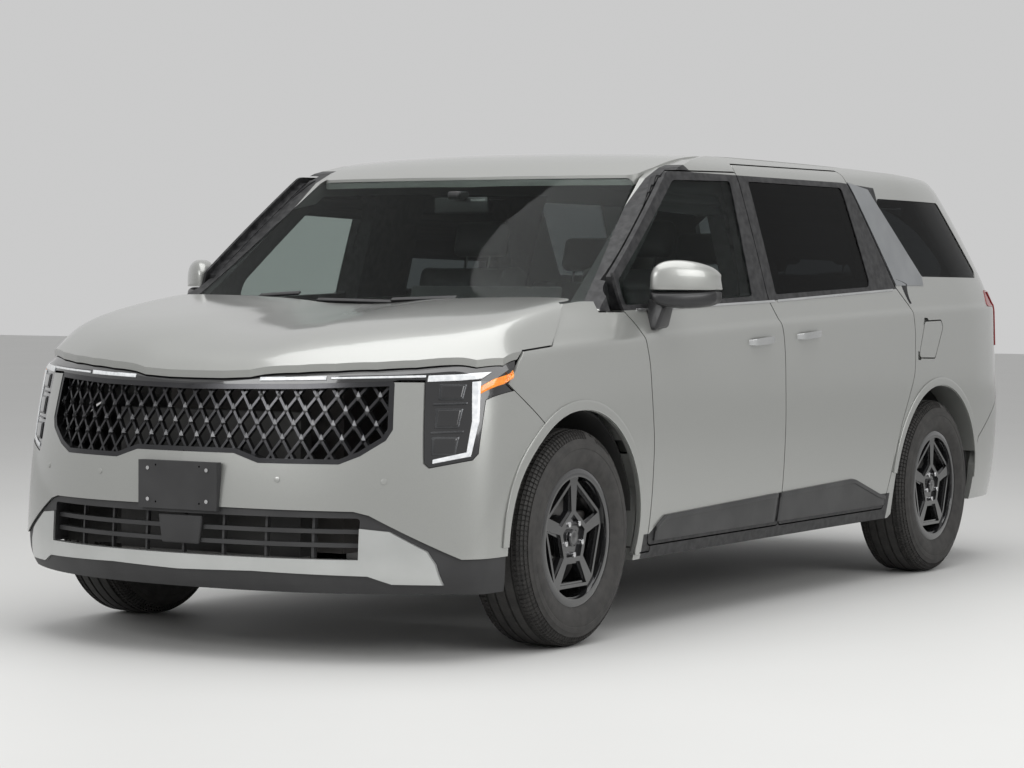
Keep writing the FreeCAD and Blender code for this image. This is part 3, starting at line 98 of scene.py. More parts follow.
world = bpy.data.worlds.new("studio_sky")
scene.world = world
world.use_nodes = True
sky = world.node_tree
set_values(sky.nodes["Background"], {"Color": SKY_COLOUR, "Strength": SKY_STRENGTH})

for name, spot, aim, size_x, size_y, watts in (
    ("ceiling_light", (1.0, -1.0, 6.5), (0.0, 0.0, 0.0), 7.0, 9.0, 420),
    ("flank_light", (8.0, -2.5, 4.0), (0.9, 0.0, 0.8), 6.0, 3.0, 210),
    ("nose_light", (-1.5, -9.0, 4.5), (0.0, -2.4, 0.7), 5.0, 2.5, 170),
):
    lamp = bpy.data.lights.new(name, "AREA")
    lamp.shape = "RECTANGLE"
    lamp.size = size_x
    lamp.size_y = size_y
    lamp.energy = watts
    light = bpy.data.objects.new(name, lamp)
    scene.collection.objects.link(light)
    light.location = spot
    light.rotation_euler = (Vector(aim) - Vector(spot)).to_track_quat("-Z", "Y").to_euler()

camera = bpy.data.objects.new("photo_camera", bpy.data.cameras.new("photo_camera"))
scene.collection.objects.link(camera)
scene.camera = camera
camera.data.sensor_width = CAMERA_SENSOR
camera.data.lens = CAMERA_LENS
camera.location = CAMERA_PLACE
camera.rotation_euler = (
    Matrix.Rotation(CAMERA_AZIMUTH, 3, "Z")
    @ Matrix.Rotation(pi / 2 - CAMERA_ELEVATION, 3, "X")
    @ Matrix.Rotation(CAMERA_ROLL, 3, "Z")
).to_euler()

# Body panels
# Pressed steel and aluminium panels in a silver-grey metallic lacquer. The glasshouse
# frames, A-pillars and the mouldings along the sills are black, on the same pressings.
PAINT = (0.355, 0.36, 0.345, 1)
PAINT_SHADE = (0.31, 0.315, 0.3, 1)
FRAME_BLACK = (0.012, 0.012, 0.013, 1)
CLADDING_BLACK = (0.035, 0.035, 0.036, 1)
PANELS = [
    "body_side_left", "body_side_right", "fender_left", "fender_right", "roof_panel", "bonnet",
    "front_bumper", "front_door_left", "front_door_right", "sliding_door_left",
    "sliding_door_right", "tailgate", "rear_bumper", "fuel_flap",
]


def noise_bump(tree, shader, scale, strength, distance, detail=3.0):
    """Fine unevenness of a surface, on the piece's own coordinates."""
    place = new_node(tree, "TexCoord", {})
    noise = new_node(tree, "TexNoise", {"Scale": scale, "Detail": detail}, Vector=place.outputs["Object"])
    bump = new_node(tree, "Bump", {"Strength": strength, "Distance": distance}, Height=noise.outputs["Fac"])
    tree.links.new(bump.outputs["Normal"], shader.inputs["Normal"])
    return place


def two_tone(tree, place, shader, first, second, scale):
    """A slow drift between two shades of one colour."""
    noise = new_node(tree, "TexNoise", {"Scale": scale, "Detail": 4}, Vector=place.outputs["Object"])
    ramp = new_node(tree, "ValToRGB", {}, Fac=noise.outputs["Fac"])
    for element, position, shade in zip(ramp.color_ramp.elements, (0.35, 0.65), (first, second)):
        element.position = position
        element.color = shade
    tree.links.new(ramp.outputs["Color"], shader.inputs["Base Color"])


def worn_roughness(tree, place, shader, low, high, scale):
    """Roughness that wanders a little, as handling and dust leave it."""
    noise = new_node(tree, "TexNoise", {"Scale": scale}, Vector=place.outputs["Object"])
    spread = new_node(tree, "MapRange", {"To Min": low, "To Max": high}, Value=noise.outputs["Fac"])
    tree.links.new(spread.outputs["Result"], shader.inputs["Roughness"])


def edge_curve(tree, along, knots, low, high):
    """Height of a drawn line over the car's length: a curve node with straight runs."""
    start = new_node(tree, "MapRange", {"From Min": knots[0][0], "From Max": knots[-1][0]}, Value=along)
    curve = new_node(tree, "FloatCurve", {}, Value=start.outputs["Result"])
    points = curve.mapping.curves[0].points
    span = knots[-1][0] - knots[0][0]
    while len(points) < len(knots):
        points.new(0.5, 0.5)
    for point, (y, z) in zip(points, knots):
        point.location = ((y - knots[0][0]) / span, (z - low) / (high - low))
        point.handle_type = "VECTOR"
    curve.mapping.update()
    back = new_node(tree, "MapRange", {"To Min": low, "To Max": high}, Value=curve.outputs["Value"])
    return back.outputs["Result"]


def compare(tree, operation, first, second):
    """One math node: each input is a socket or a number."""
    node = tree.nodes.new("ShaderNodeMath")
    node.operation = operation
    for socket, value in zip(node.inputs, (first, second)):
        if isinstance(value, (int, float)):
            socket.default_value = value
        else:
            tree.links.new(value, socket)
    return node.outputs[0]


def all_of(tree, *conditions):
    """A mask that is one only where every condition is."""
    mask = conditions[0]
    for condition in conditions[1:]:
        mask = compare(tree, "MULTIPLY", mask, condition)
    return mask


# Lines on the flank, as (y, z) in metres from the nose backwards
CLADDING_LINE = [(-1.12, 0.345), (-1.021, 0.404), (-0.125, 0.427), (0.596, 0.444), (0.87, 0.365)]
BELT_LINE = [(-1.41, 1.127), (-0.155, 1.163), (1.06, 1.212)]
ROOF_LINE = [(-1.41, 1.78), (-0.72, 1.78), (-0.56, 1.64), (-0.202, 1.641), (0.732, 1.645), (1.06, 1.632)]
CLADDING_FROM = -1.16
CLADDING_TO = 0.98
CLADDING_OUT = 0.72
FRAMES_FROM = -1.405
FRAMES_TO = 1.05
FRAMES_OUT = 0.735

material, tree, shader = blank_material("silver_lacquer")
place = noise_bump(tree, shader, 2600, 0.03, 0.0002, 1)
two_tone(tree, place, shader, PAINT, PAINT_SHADE, 900)
set_values(shader, {"Metallic": 0.55, "Roughness": 0.34, "Coat Weight": 1.0, "Coat Roughness": 0.1})
black = new_node(tree, "BsdfPrincipled", {"Specular IOR Level": 0.18})
two_tone(tree, place, black, FRAME_BLACK, CLADDING_BLACK, 40)
worn_roughness(tree, place, black, 0.3, 0.42, 25)
split = new_node(tree, "SeparateXYZ", {}, Vector=place.outputs["Object"])
across, along, height = split.outputs["X"], split.outputs["Y"], split.outputs["Z"]
under = compare(tree, "LESS_THAN", height, edge_curve(tree, along, CLADDING_LINE, 0.3, 0.5))
reach = compare(tree, "ABSOLUTE", across, 0)
wide = compare(tree, "GREATER_THAN", reach, CLADDING_OUT)
behind_wheel = compare(tree, "GREATER_THAN", along, CLADDING_FROM)
before_wheel = compare(tree, "LESS_THAN", along, CLADDING_TO)
flank = all_of(tree, under, wide, behind_wheel, before_wheel)
over_belt = compare(tree, "GREATER_THAN", height, edge_curve(tree, along, BELT_LINE, 1.0, 1.4))
under_roof = compare(tree, "LESS_THAN", height, edge_curve(tree, along, ROOF_LINE, 1.0, 1.8))
ahead = compare(tree, "GREATER_THAN", along, FRAMES_FROM)
behind = compare(tree, "LESS_THAN", along, FRAMES_TO)
outboard = compare(tree, "GREATER_THAN", reach, FRAMES_OUT)
frames = all_of(tree, over_belt, under_roof, ahead, behind, outboard)
marked = compare(tree, "MAXIMUM", flank, frames)
mix = new_node(tree, "MixShader", {}, Fac=marked)
tree.links.new(shader.outputs["BSDF"], mix.inputs[1])
tree.links.new(black.outputs["BSDF"], mix.inputs[2])
tree.links.new(mix.outputs["Shader"], tree.nodes["Material Output"].inputs["Surface"])
silver_lacquer = material


def dress(names, material):
    """Puts one material on every slot of the named construction pieces."""
    for name in names:
        mesh = nodes[name].data
        if not mesh.materials:
            mesh.materials.append(material)
        for index in range(len(mesh.materials)):
            mesh.materials[index] = material


dress(PANELS, silver_lacquer)

# Glass
# Laminated windscreen and toughened side glass. The front pair is lightly green,
# the glass behind the driver is tinted nearly black in the factory.


def window_glass(name, first, second):
    """Smooth glass in one tint that drifts very slowly. Its low index keeps thin panes clear."""
    material, tree, shader = blank_material(name)
    two_tone(tree, new_node(tree, "TexCoord", {}), shader, (*first, 1), (*second, 1), 0.6)
    set_values(shader, {"Roughness": 0.0, "Transmission Weight": 1.0, "IOR": 1.1, "Specular IOR Level": 1.0})
    return material


clear_glass = window_glass("clear_screen_glass", (0.52, 0.57, 0.55), (0.56, 0.61, 0.59))
privacy_glass = window_glass("privacy_glass", (0.085, 0.093, 0.098), (0.105, 0.115, 0.12))
dress(["windscreen", "front_door_glass_left", "front_door_glass_right"], clear_glass)
dress(["side_glass", "tailgate_glass"], privacy_glass)

# Plastics and metals below the waist
# Grained polypropylene for bumpers' lower parts and ducts, satin silver for the front
# skid panel, dark chrome for the grille, cast and rolled metal for what carries the wheels.


def plain_finish(name, first, second, roughness, metallic=0.0, grain=300.0, depth=0.15, coat=0.0):
    """A moulded or cast surface: two close shades, worn gloss and a fine grain."""
    material, tree, shader = blank_material(name)
    place = noise_bump(tree, shader, grain, depth, 0.0006)
    two_tone(tree, place, shader, (*first, 1), (*second, 1), 6.0)
    worn_roughness(tree, place, shader, roughness - 0.05, roughness + 0.07, 9.0)
    set_values(shader, {"Metallic": metallic, "Coat Weight": coat})
    return material


grained_plastic = plain_finish("grained_plastic", (0.022, 0.022, 0.023), (0.032, 0.032, 0.033), 0.55)
satin_silver = plain_finish("satin_silver", (0.5, 0.51, 0.5), (0.46, 0.47, 0.46), 0.3, 0.55, 900, 0.03, 0.6)
dark_chrome = plain_finish("dark_chrome", (0.05, 0.05, 0.053), (0.065, 0.065, 0.068), 0.2, 0.9, 500, 0.02)
garnish_grey = plain_finish("garnish_grey", (0.26, 0.27, 0.28), (0.31, 0.32, 0.33), 0.36, 0.7, 420, 0.12)
primer_black = plain_finish("primer_black", (0.03, 0.03, 0.03), (0.045, 0.044, 0.042), 0.6, 0.1, 120, 0.2)
bare_steel = plain_finish("bare_steel", (0.24, 0.24, 0.24), (0.32, 0.31, 0.3), 0.42, 0.9, 90, 0.2)
cast_iron = plain_finish("cast_iron", (0.11, 0.105, 0.1), (0.16, 0.15, 0.145), 0.6, 0.6, 160, 0.5)
gloss_black = plain_finish("gloss_black", (0.006, 0.006, 0.007), (0.01, 0.01, 0.011), 0.12, 0, 300, 0.02, 1)
dash_vinyl = plain_finish("dash_vinyl", (0.035, 0.035, 0.037), (0.05, 0.05, 0.052), 0.55, 0, 700, 0.3)
dress(["lower_grille", "plate_bracket", "cowl_and_wipers", "mirror_left", "mirror_right"], grained_plastic)
dress(["front_valance"], satin_silver)
dress(["grille"], dark_chrome)
dress(["pillar_garnish"], garnish_grey)
dress(["floor_pan", "radiator"], primer_black)
dress(["front_subframe", "rear_axle", "exhaust"], bare_steel)
dress(["knuckle_left", "knuckle_right", "engine"], cast_iron)
dress(["fuel_tank"], grained_plastic)
dress(["dashboard", "steering_wheel"], dash_vinyl)
dress(["rim_front_left", "rim_front_right", "rim_rear_left", "rim_rear_right"], gloss_black)
dress(["headlamps"], gloss_black)
dress(["front_seats", "rear_seats"], dash_vinyl)
dress(["tyre_front_left", "tyre_front_right", "tyre_rear_left", "tyre_rear_right"], primer_black)


def pick(*pieces):
    """Selects only these pieces, the first one active."""
    bpy.ops.object.select_all(action="DESELECT")
    for piece in pieces:
        piece.select_set(True)
    bpy.context.view_layer.objects.active = pieces[0]


def joined(pieces):
    """Several pieces made one."""
    pick(*pieces)
    bpy.ops.object.join()
    return pieces[0]


def twin(piece):
    """A free copy of a piece, with its own mesh."""
    copy = piece.copy()
    copy.data = piece.data.copy()
    copy.parent = None
    scene.collection.objects.link(copy)
    return copy


def unit_cube():
    """A new cube with edges of one metre, alone in the selection."""
    bpy.ops.mesh.primitive_cube_add(size=1)
    return bpy.context.object


def finish_piece(piece, name, material, body, angle=35.0):
    """A finished piece: its place goes into its mesh, then it gets its finish and its carrier."""
    piece.name = name
    piece.data.materials.clear()
    piece.data.materials.append(material)
    pick(piece)
    bpy.ops.object.transform_apply(location=True, rotation=True, scale=True)
    bpy.ops.object.shade_smooth_by_angle(angle=radians(angle))
    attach(piece, body)
    return piece


def apply_modifier(piece, kind, **settings):
    """Adds one modifier and applies it at once."""
    pick(piece)
    modifier = piece.modifiers.new(kind.lower(), kind)
    for key, value in settings.items():
        setattr(modifier, key, value)
    bpy.ops.object.modifier_apply(modifier=modifier.name)


def outward(piece):
    """Turns every face of a closed piece outwards."""
    pick(piece)
    bpy.ops.object.mode_set(mode="EDIT")
    bpy.ops.mesh.select_all(action="SELECT")
    bpy.ops.mesh.remove_doubles(threshold=0.00005)
    bpy.ops.mesh.normals_make_consistent(inside=False)
    bpy.ops.object.mode_set(mode="OBJECT")


def rounded(piece, width, segments=2, angle=None):
    """Rounds a piece's edges, or only those that bend by more than an angle in degrees."""
    if angle is None:
        apply_modifier(piece, "BEVEL", width=width, segments=segments)
    else:
        apply_modifier(
            piece, "BEVEL", width=width, segments=segments, limit_method="ANGLE", angle_limit=radians(angle)
        )


def line_point(points, share):
    """The point at a share of a drawn line's length."""
    runs = [hypot(b[0] - a[0], b[1] - a[1]) for a, b in zip(points, points[1:])]
    left = share * sum(runs)
    for (a, b), run in zip(zip(points, points[1:]), runs):
        if left <= run:
            return a[0] + (b[0] - a[0]) * left / run, a[1] + (b[1] - a[1]) * left / run
        left -= run
    return points[-1]


VIEWS = {
    "front": (Vector((0, 1, 0)), lambda a, b: Vector((a, -3.5, b))),
    "rear": (Vector((0, -1, 0)), lambda a, b: Vector((a, 3.5, b))),
    "left": (Vector((-1, 0, 0)), lambda a, b: Vector((2.0, a, b))),
    "top": (Vector((0, 0, -1)), lambda a, b: Vector((a, b, 2.5))),
}


def touch(targets, view, a, b):
    """Where a straight look at the car first meets one of the named panels, and the way it faces."""
    direction, start = VIEWS[view]
    found = None
    for target in targets:
        hit, spot, normal, _ = nodes[target].ray_cast(start(a, b), direction)
        if hit and (found is None or (spot - start(a, b)).length < (found[0] - start(a, b)).length):
            found = (spot, normal if normal.dot(direction) < 0 else -normal)
    return found


def draped(name, targets, view, first, second, thick, finish, body, slot, lift, columns, rows, bevel):
    """A thin moulding drawn between two lines in one view and pressed on the panels behind it."""
    bpy.ops.mesh.primitive_grid_add(x_subdivisions=columns, y_subdivisions=rows, size=1)
    piece = bpy.context.object
    shares = [(vertex.co.x + 0.5, vertex.co.y + 0.5) for vertex in piece.data.vertices]
    spots = []
    for along_share, across_share in shares:
        low, high = line_point(first, along_share), line_point(second, along_share)
        a = low[0] + (high[0] - low[0]) * across_share
        b = low[1] + (high[1] - low[1]) * across_share
        spots.append((a, b, touch(targets, view, a, b)))
    hits = [(a, b, found) for a, b, found in spots if found]
    for vertex, (a, b, found) in zip(piece.data.vertices, spots):
        if found is None:
            near = min(hits, key=lambda other: hypot(other[0] - a, other[1] - b))
            direction, start = VIEWS[view]
            depth = (near[2][0] - start(near[0], near[1])).dot(direction)
            found = (start(a, b) + direction * depth, near[2][1])
        vertex.co = found[0] + found[1] * (lift + thick / 2)
    apply_modifier(piece, "SOLIDIFY", thickness=thick, offset=0)
    rounded(piece, bevel, angle=50)
    outward(piece)
    return finish_piece(piece, name, finish, body)


def other_side(piece, name, body):
    """The same piece on the right side of the car, with its own mesh."""
    copy = twin(piece)
    copy.data.transform(Matrix.Scale(-1, 4, Vector((1, 0, 0))))
    copy.data.flip_normals()
    return finish_piece(copy, name, piece.data.materials[0], body)


def draped_pair(name, targets, view, first, second, thick, finish, body, slot, *shape):
    """A draped moulding on the car's left side and its twin on the right."""
    piece = draped(name + "_left", targets, view, first, second, thick, finish, body, slot, *shape)
    other_side(piece, name + "_right", body.replace("_left", "_right"))


# Tyres
# Radial road tyres, 235/65 R17: four grooves round the tread, notched shoulders, a
# raised plain band on each sidewall and a bead that sits on the rim.
WHEELS = [
    ("front_left", "wheel_front_left"), ("front_right", "wheel_front_right"),
    ("rear_left", "wheel_rear_left"), ("rear_right", "wheel_rear_right"),
]
WHEEL_OUT = 0.87
TYRE_RADIUS = 0.3685
TYRE_STEPS = 132
TREAD_EDGE = 0.352
CUTS_ROUND = 168
CUT_SLANT = 160
WALL_RINGS = 2600
TREAD_DEPTH = 0.007
GROOVE_HALF = 0.0045
GROOVES = (-0.058, -0.021, 0.021, 0.058)


def tyre_rubber(name, centre):
    """Rubber whose fine cuts run round one wheel's own centre."""
    material, tree, shader = blank_material(name)
    place = new_node(tree, "TexCoord", {})
    centred = new_node(tree, "Mapping", {"Location": -centre}, Vector=place.outputs["Object"])
    split = new_node(tree, "SeparateXYZ", {}, Vector=centred.outputs["Vector"])
    x, y, z = split.outputs["X"], split.outputs["Y"], split.outputs["Z"]
    squares = compare(tree, "ADD", compare(tree, "POWER", y, 2), compare(tree, "POWER", z, 2))
    reach = compare(tree, "SQRT", squares, 0)
    round_wheel = compare(tree, "MULTIPLY", compare(tree, "ARCTAN2", y, z), CUTS_ROUND)
    phase = compare(tree, "ADD", round_wheel, compare(tree, "MULTIPLY", x, CUT_SLANT))
    cuts = compare(tree, "GREATER_THAN", compare(tree, "SINE", phase, 0), 0.72)
    tread_cuts = all_of(tree, cuts, compare(tree, "GREATER_THAN", reach, TREAD_EDGE))
    rings = compare(tree, "SINE", compare(tree, "MULTIPLY", reach, WALL_RINGS), 0)
    on_wall = compare(tree, "LESS_THAN", reach, TREAD_EDGE)
    wall_rings = compare(tree, "MULTIPLY", compare(tree, "MULTIPLY", rings, 0.06), on_wall)
    relief = compare(tree, "SUBTRACT", wall_rings, tread_cuts)
    bump = new_node(tree, "Bump", {"Strength": 0.6, "Distance": 0.0025}, Height=relief)
    tree.links.new(bump.outputs["Normal"], shader.inputs["Normal"])
    two_tone(tree, place, shader, (0.022, 0.021, 0.02, 1), (0.036, 0.034, 0.032, 1), 30)
    worn_roughness(tree, place, shader, 0.62, 0.78, 20)
    return material


def tyre_profile():
    """The tyre's section, (across, radius), from the inner bead over the tread to the outer bead."""
    wall = [
        (-0.09, 0.2165), (-0.097, 0.232), (-0.108, 0.246), (-0.1165, 0.268), (-0.1175, 0.292),
        (-0.115, 0.3), (-0.1168, 0.303), (-0.1155, 0.318), (-0.112, 0.322), (-0.1085, 0.334),
        (-0.101, 0.348), (-0.092, 0.3585), (-0.08, 0.3645),
    ]
    tread = []
    foot_half = GROOVE_HALF - 0.0015
    for groove in GROOVES:
        crown = TYRE_RADIUS - 0.9 * groove ** 2
        floor_radius = crown - TREAD_DEPTH
        tread += [(groove - GROOVE_HALF, crown), (groove - foot_half, floor_radius)]
        tread += [(groove + foot_half, floor_radius), (groove + GROOVE_HALF, crown)]
    return wall + tread + [(-x, r) for x, r in reversed(wall)]


def spun(profile, steps, side=1):
    """A closed ring swept round the X axis from a section given as (across, radius)."""
    bpy.ops.mesh.primitive_circle_add(vertices=len(profile), radius=1, fill_type="NOTHING")
    ring = bpy.context.object
    for vertex, (across, radius) in zip(ring.data.vertices, profile):
        vertex.co = (across * side, 0, radius)
    bpy.ops.object.mode_set(mode="EDIT")
    bpy.ops.mesh.select_all(action="SELECT")
    bpy.ops.mesh.spin(steps=steps, angle=2 * pi, center=(0, 0, 0), axis=(1, 0, 0))
    bpy.ops.object.mode_set(mode="OBJECT")
    outward(ring)
    return ring


tyre = spun(tyre_profile(), TYRE_STEPS)
bpy.ops.object.mode_set(mode="EDIT")
bpy.ops.mesh.select_all(action="DESELECT")
bpy.ops.object.mode_set(mode="OBJECT")
for face in tyre.data.polygons:
    middle = face.center
    reach = hypot(middle.y, middle.z)
    turn = int((atan2(middle.y, middle.z) + pi) / (2 * pi) * TYRE_STEPS + 0.5)
    face.select = 0.086 > abs(middle.x) > 0.064 and reach > 0.36 and turn % 2 == 0
    face.select = face.select or (0.108 > abs(middle.x) > 0.094 and reach > 0.335 and turn % 2 == 0)
bpy.ops.object.mode_set(mode="EDIT")
bpy.ops.mesh.inset(thickness=0.0016, use_individual=True)
bpy.ops.transform.shrink_fatten(value=-0.0045)
bpy.ops.object.mode_set(mode="OBJECT")
for place_name, body in WHEELS:
    low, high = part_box("tyre_" + place_name)
    centre = (Vector(low) + Vector(high)) / 2
    copy = twin(tyre)
    copy.location = centre
    rubber = tyre_rubber("rubber_" + place_name, centre)
    finish_piece(copy, "road_tyre_" + place_name, rubber, body, 28)
    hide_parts("tyre_" + place_name)
bpy.data.objects.remove(tyre)

# Wheel fittings
# Each wheel is held by five bright nuts round a plain cap; a cast iron disc turns
# behind the spokes and a caliper hangs on the knuckle, or on the axle at the rear.
NUT_CIRCLE = 0.0571
NUT_RADIUS = 0.0105
NUT_DEPTH = 0.022
NUT_OUT = 0.083
CAP_RADIUS = 0.029
CAP_PROFILE = [
    (0.076, 0.0), (0.076, CAP_RADIUS), (0.088, CAP_RADIUS), (0.0915, CAP_RADIUS - 0.004),
    (0.0905, CAP_RADIUS - 0.009), (0.0925, 0.01), (0.093, 0.0),
]
DISC_RADIUS = 0.163
DISC_BORE = 0.0745
DISC_PROFILE = [
    (0.0122, DISC_BORE), (0.0122, DISC_RADIUS - 0.004), (0.01, DISC_RADIUS + 0.001),
    (0.0142, DISC_RADIUS + 0.001), (0.0152, DISC_RADIUS - 0.006), (0.0152, DISC_BORE),
]


def lug_nuts(centre, face):
    """Five hexagon nuts with softened edges, spaced round the hub."""
    nuts = []
    for index in range(5):
        turn = radians(72 * index + 36)
        spot = (face, centre.y + sin(turn) * NUT_CIRCLE, centre.z + cos(turn) * NUT_CIRCLE)
        bpy.ops.mesh.primitive_cylinder_add(
            vertices=6, radius=NUT_RADIUS, depth=NUT_DEPTH, location=spot, rotation=(0, pi / 2, 0)
        )
        nut = bpy.context.object
        rounded(nut, 0.002)
        nuts.append(nut)
    return joined(nuts)


def wheel_middle(node_name):
    """The middle of the wheel that a tyre or rim of the CAD part belongs to."""
    low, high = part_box(node_name)
    side = 1 if "left" in node_name else -1
    return Vector((WHEEL_OUT * side, (low[1] + high[1]) / 2, (low[2] + high[2]) / 2))


def turned(name, profile, centre, side, steps, finish, body):
    """A closed ring or cap turned about the wheel's axis from a short profile."""
    piece = spun(profile, steps, side)
    piece.location = centre
    return finish_piece(piece, name, finish, body, 40)


rotor_iron = plain_finish("rotor_iron", (0.16, 0.155, 0.15), (0.22, 0.215, 0.21), 0.35, 0.9, 400, 0.1)
nut_chrome = plain_finish("nut_chrome", (0.62, 0.62, 0.63), (0.7, 0.7, 0.71), 0.16, 1.0, 300, 0.02)
for place_name, body in WHEELS:
    side = 1 if "left" in place_name else -1
    centre = wheel_middle("rim_" + place_name)
    nuts = lug_nuts(centre, centre.x + side * NUT_OUT)
    finish_piece(nuts, "wheel_nuts_" + place_name, nut_chrome, body)
    turned("hub_cap_" + place_name, CAP_PROFILE, centre, side, 40, gloss_black, body)
    turned("brake_disc_" + place_name, DISC_PROFILE, centre, side, 64, rotor_iron, body)

# Brake calipers
# A cast caliper clasps each disc. At the front it rides on the knuckle and steers with
# it, at the rear it belongs to the body as the axle beam does.
CALIPERS = [
    ("front_left", 1, "knuckle_left"), ("front_right", -1, "knuckle_right"),
    ("rear_left", 1, "body"), ("rear_right", -1, "body"),
]
for place_name, side, carrier in CALIPERS:
    caliper = unit_cube()
    caliper.scale = (0.026, 0.15, 0.062)
    bpy.ops.object.transform_apply(scale=True)
    rounded(caliper, 0.01, 3)
    apply_modifier(caliper, "SUBSURF", levels=1, render_levels=1)
    for vertex in caliper.data.vertices:
        vertex.co.z -= 1.6 * vertex.co.y ** 2
    caliper.location = wheel_middle("rim_" + place_name) + Vector((side * 0.03, 0.137, 0.006))
    caliper.rotation_euler = (radians(-90), 0, 0)
    finish_piece(caliper, "brake_caliper_" + place_name, cast_iron, carrier)

# Front lamps
# A black lamp bar runs under the bonnet edge into two upright lamps. White light blades
# lie in the bar and turn down the outer lamp; an amber blade shows at its tip.


def light_blade(name, first, second, shade_scale, bump, gloss):
    """A coated light guide with fine ribs, in two close shades."""
    material, tree, shader = blank_material(name)
    place = noise_bump(tree, shader, *bump)
    two_tone(tree, place, shader, (*first, 1), (*second, 1), shade_scale)
    worn_roughness(tree, place, shader, *gloss, 80)
    set_values(shader, {"Coat Weight": 1.0})
    return material


white_blade = light_blade(
    "white_light_blade", (0.62, 0.64, 0.66), (0.8, 0.81, 0.82), 60, (220, 0.2, 0.0006), (0.12, 0.25)
)
amber_blade = light_blade(
    "amber_light_blade", (0.85, 0.2, 0.01), (0.98, 0.33, 0.02), 90, (260, 0.35, 0.0008), (0.1, 0.22)
)
lamp_reflector = plain_finish(
    "lamp_reflector", (0.07, 0.072, 0.075), (0.12, 0.122, 0.125), 0.2, 0.9, 300, 0.1
)
LAMP_BLADES = [
    ("bar_blade_inner", white_blade, [(0.255, 0.902), (0.48, 0.908)], [(0.255, 0.912), (0.48, 0.921)]),
    ("bar_blade_outer", white_blade, [(0.495, 0.911), (0.766, 0.919)], [(0.495, 0.917), (0.766, 0.926)]),
    ("lamp_blade_top", white_blade, [(0.772, 0.905), (0.85, 0.909), (0.905, 0.915)],
     [(0.772, 0.925), (0.85, 0.929), (0.915, 0.935)]),
    ("lamp_blade_down", white_blade, [(0.884, 0.905), (0.897, 0.78), (0.893, 0.672)],
     [(0.905, 0.908), (0.914, 0.78), (0.905, 0.672)]),
    ("lamp_blade_foot", white_blade, [(0.812, 0.645), (0.905, 0.668)], [(0.812, 0.658), (0.9, 0.683)]),
    ("amber_blade", amber_blade, [(0.907, 0.866), (0.964, 0.917)], [(0.905, 0.89), (0.958, 0.942)]),
    ("lamp_ridge_low", lamp_reflector, [(0.8, 0.74), (0.88, 0.744)], [(0.8, 0.746), (0.88, 0.75)]),
    ("lamp_ridge_high", lamp_reflector, [(0.795, 0.83), (0.88, 0.834)], [(0.795, 0.836), (0.88, 0.84)]),
]
IN_LAMP = ("body", "lamp_lens")
for name, finish, lower, upper in LAMP_BLADES:
    draped_pair(name, ["headlamps"], "front", lower, upper, 0.004, finish, *IN_LAMP, 0.0004, 24, 3, 0.001)

# Headlamp lenses
# In each upright lamp three cells stand one above the other: a gloss black lens, raised
# in a grey metallic frame.
LENS_EDGE = 0.005
for name, low_z, high_z in (("lower", 0.672, 0.73), ("middle", 0.758, 0.82), ("upper", 0.848, 0.898)):
    lens_low, lens_high = low_z + LENS_EDGE, high_z - LENS_EDGE
    draped_pair(
        "projector_frame_" + name, ["headlamps"], "front", [(0.808, low_z), (0.868, low_z)],
        [(0.804, high_z), (0.872, high_z)], 0.003, lamp_reflector, *IN_LAMP, 0.0003, 12, 8, 0.001,
    )
    draped_pair(
        "projector_lens_" + name, ["headlamps"], "front", [(0.813, lens_low), (0.863, lens_low)],
        [(0.81, lens_high), (0.866, lens_high)], 0.003, gloss_black, *IN_LAMP, 0.0025, 12, 8, 0.001,
    )

# Grille studs
# On the lattice crossings stand tall four-sided studs in dark chrome, row over row,
# their facets catching the light.
STUD_PITCH = (0.064, 0.046)
STUD_SIZE = (0.0085, 0.011, 0.019)
STUD_FLOOR = 0.626
STUD_EDGE = 0.034
STUD_OUT = 0.675
GRILLE_LOW = [
    (-0.7, 0.753), (-0.684, 0.718), (-0.616, 0.668), (-0.555, 0.641), (-0.289, 0.64), (-0.197, 0.669),
    (0.197, 0.669), (0.289, 0.64), (0.555, 0.641), (0.616, 0.668), (0.684, 0.718), (0.7, 0.753),
]
GRILLE_HIGH = [(-0.7, 0.906), (-0.403, 0.893), (0, 0.886), (0.403, 0.893), (0.7, 0.906)]


def height_at(line, x):
    """Height of a drawn line at one place along it."""
    for (a, first), (b, second) in zip(line, line[1:]):
        if a <= x <= b:
            return first + (second - first) * (x - a) / (b - a)
    return line[-1][1]


studs = []
for row in range(-1, 8):
    for column in range(-12, 13):
        x = (column + 0.5 * (row % 2) + 0.5) * STUD_PITCH[0]
        z = STUD_FLOOR + row * STUD_PITCH[1]
        floor_z, roof_z = height_at(GRILLE_LOW, x) + STUD_EDGE, height_at(GRILLE_HIGH, x) - STUD_EDGE
        if abs(x) > STUD_OUT or not floor_z <= z <= roof_z:
            continue
        found = touch(["grille"], "front", x, z)
        if found is None:
            continue
        bpy.ops.mesh.primitive_cone_add(vertices=4, radius1=1, radius2=0.25, depth=1, rotation=(pi / 2, 0, 0))
        stud = bpy.context.object
        bpy.ops.object.transform_apply(rotation=True)
        stud.scale = STUD_SIZE
        stud.location = found[0] + Vector((0, -0.004, 0))
        studs.append(stud)
grille_studs = joined(studs)
stud_chrome = plain_finish("stud_chrome", (0.1, 0.1, 0.104), (0.17, 0.17, 0.174), 0.26, 1.0, 400, 0.02)
finish_piece(grille_studs, "grille_studs", stud_chrome, "body", 10)

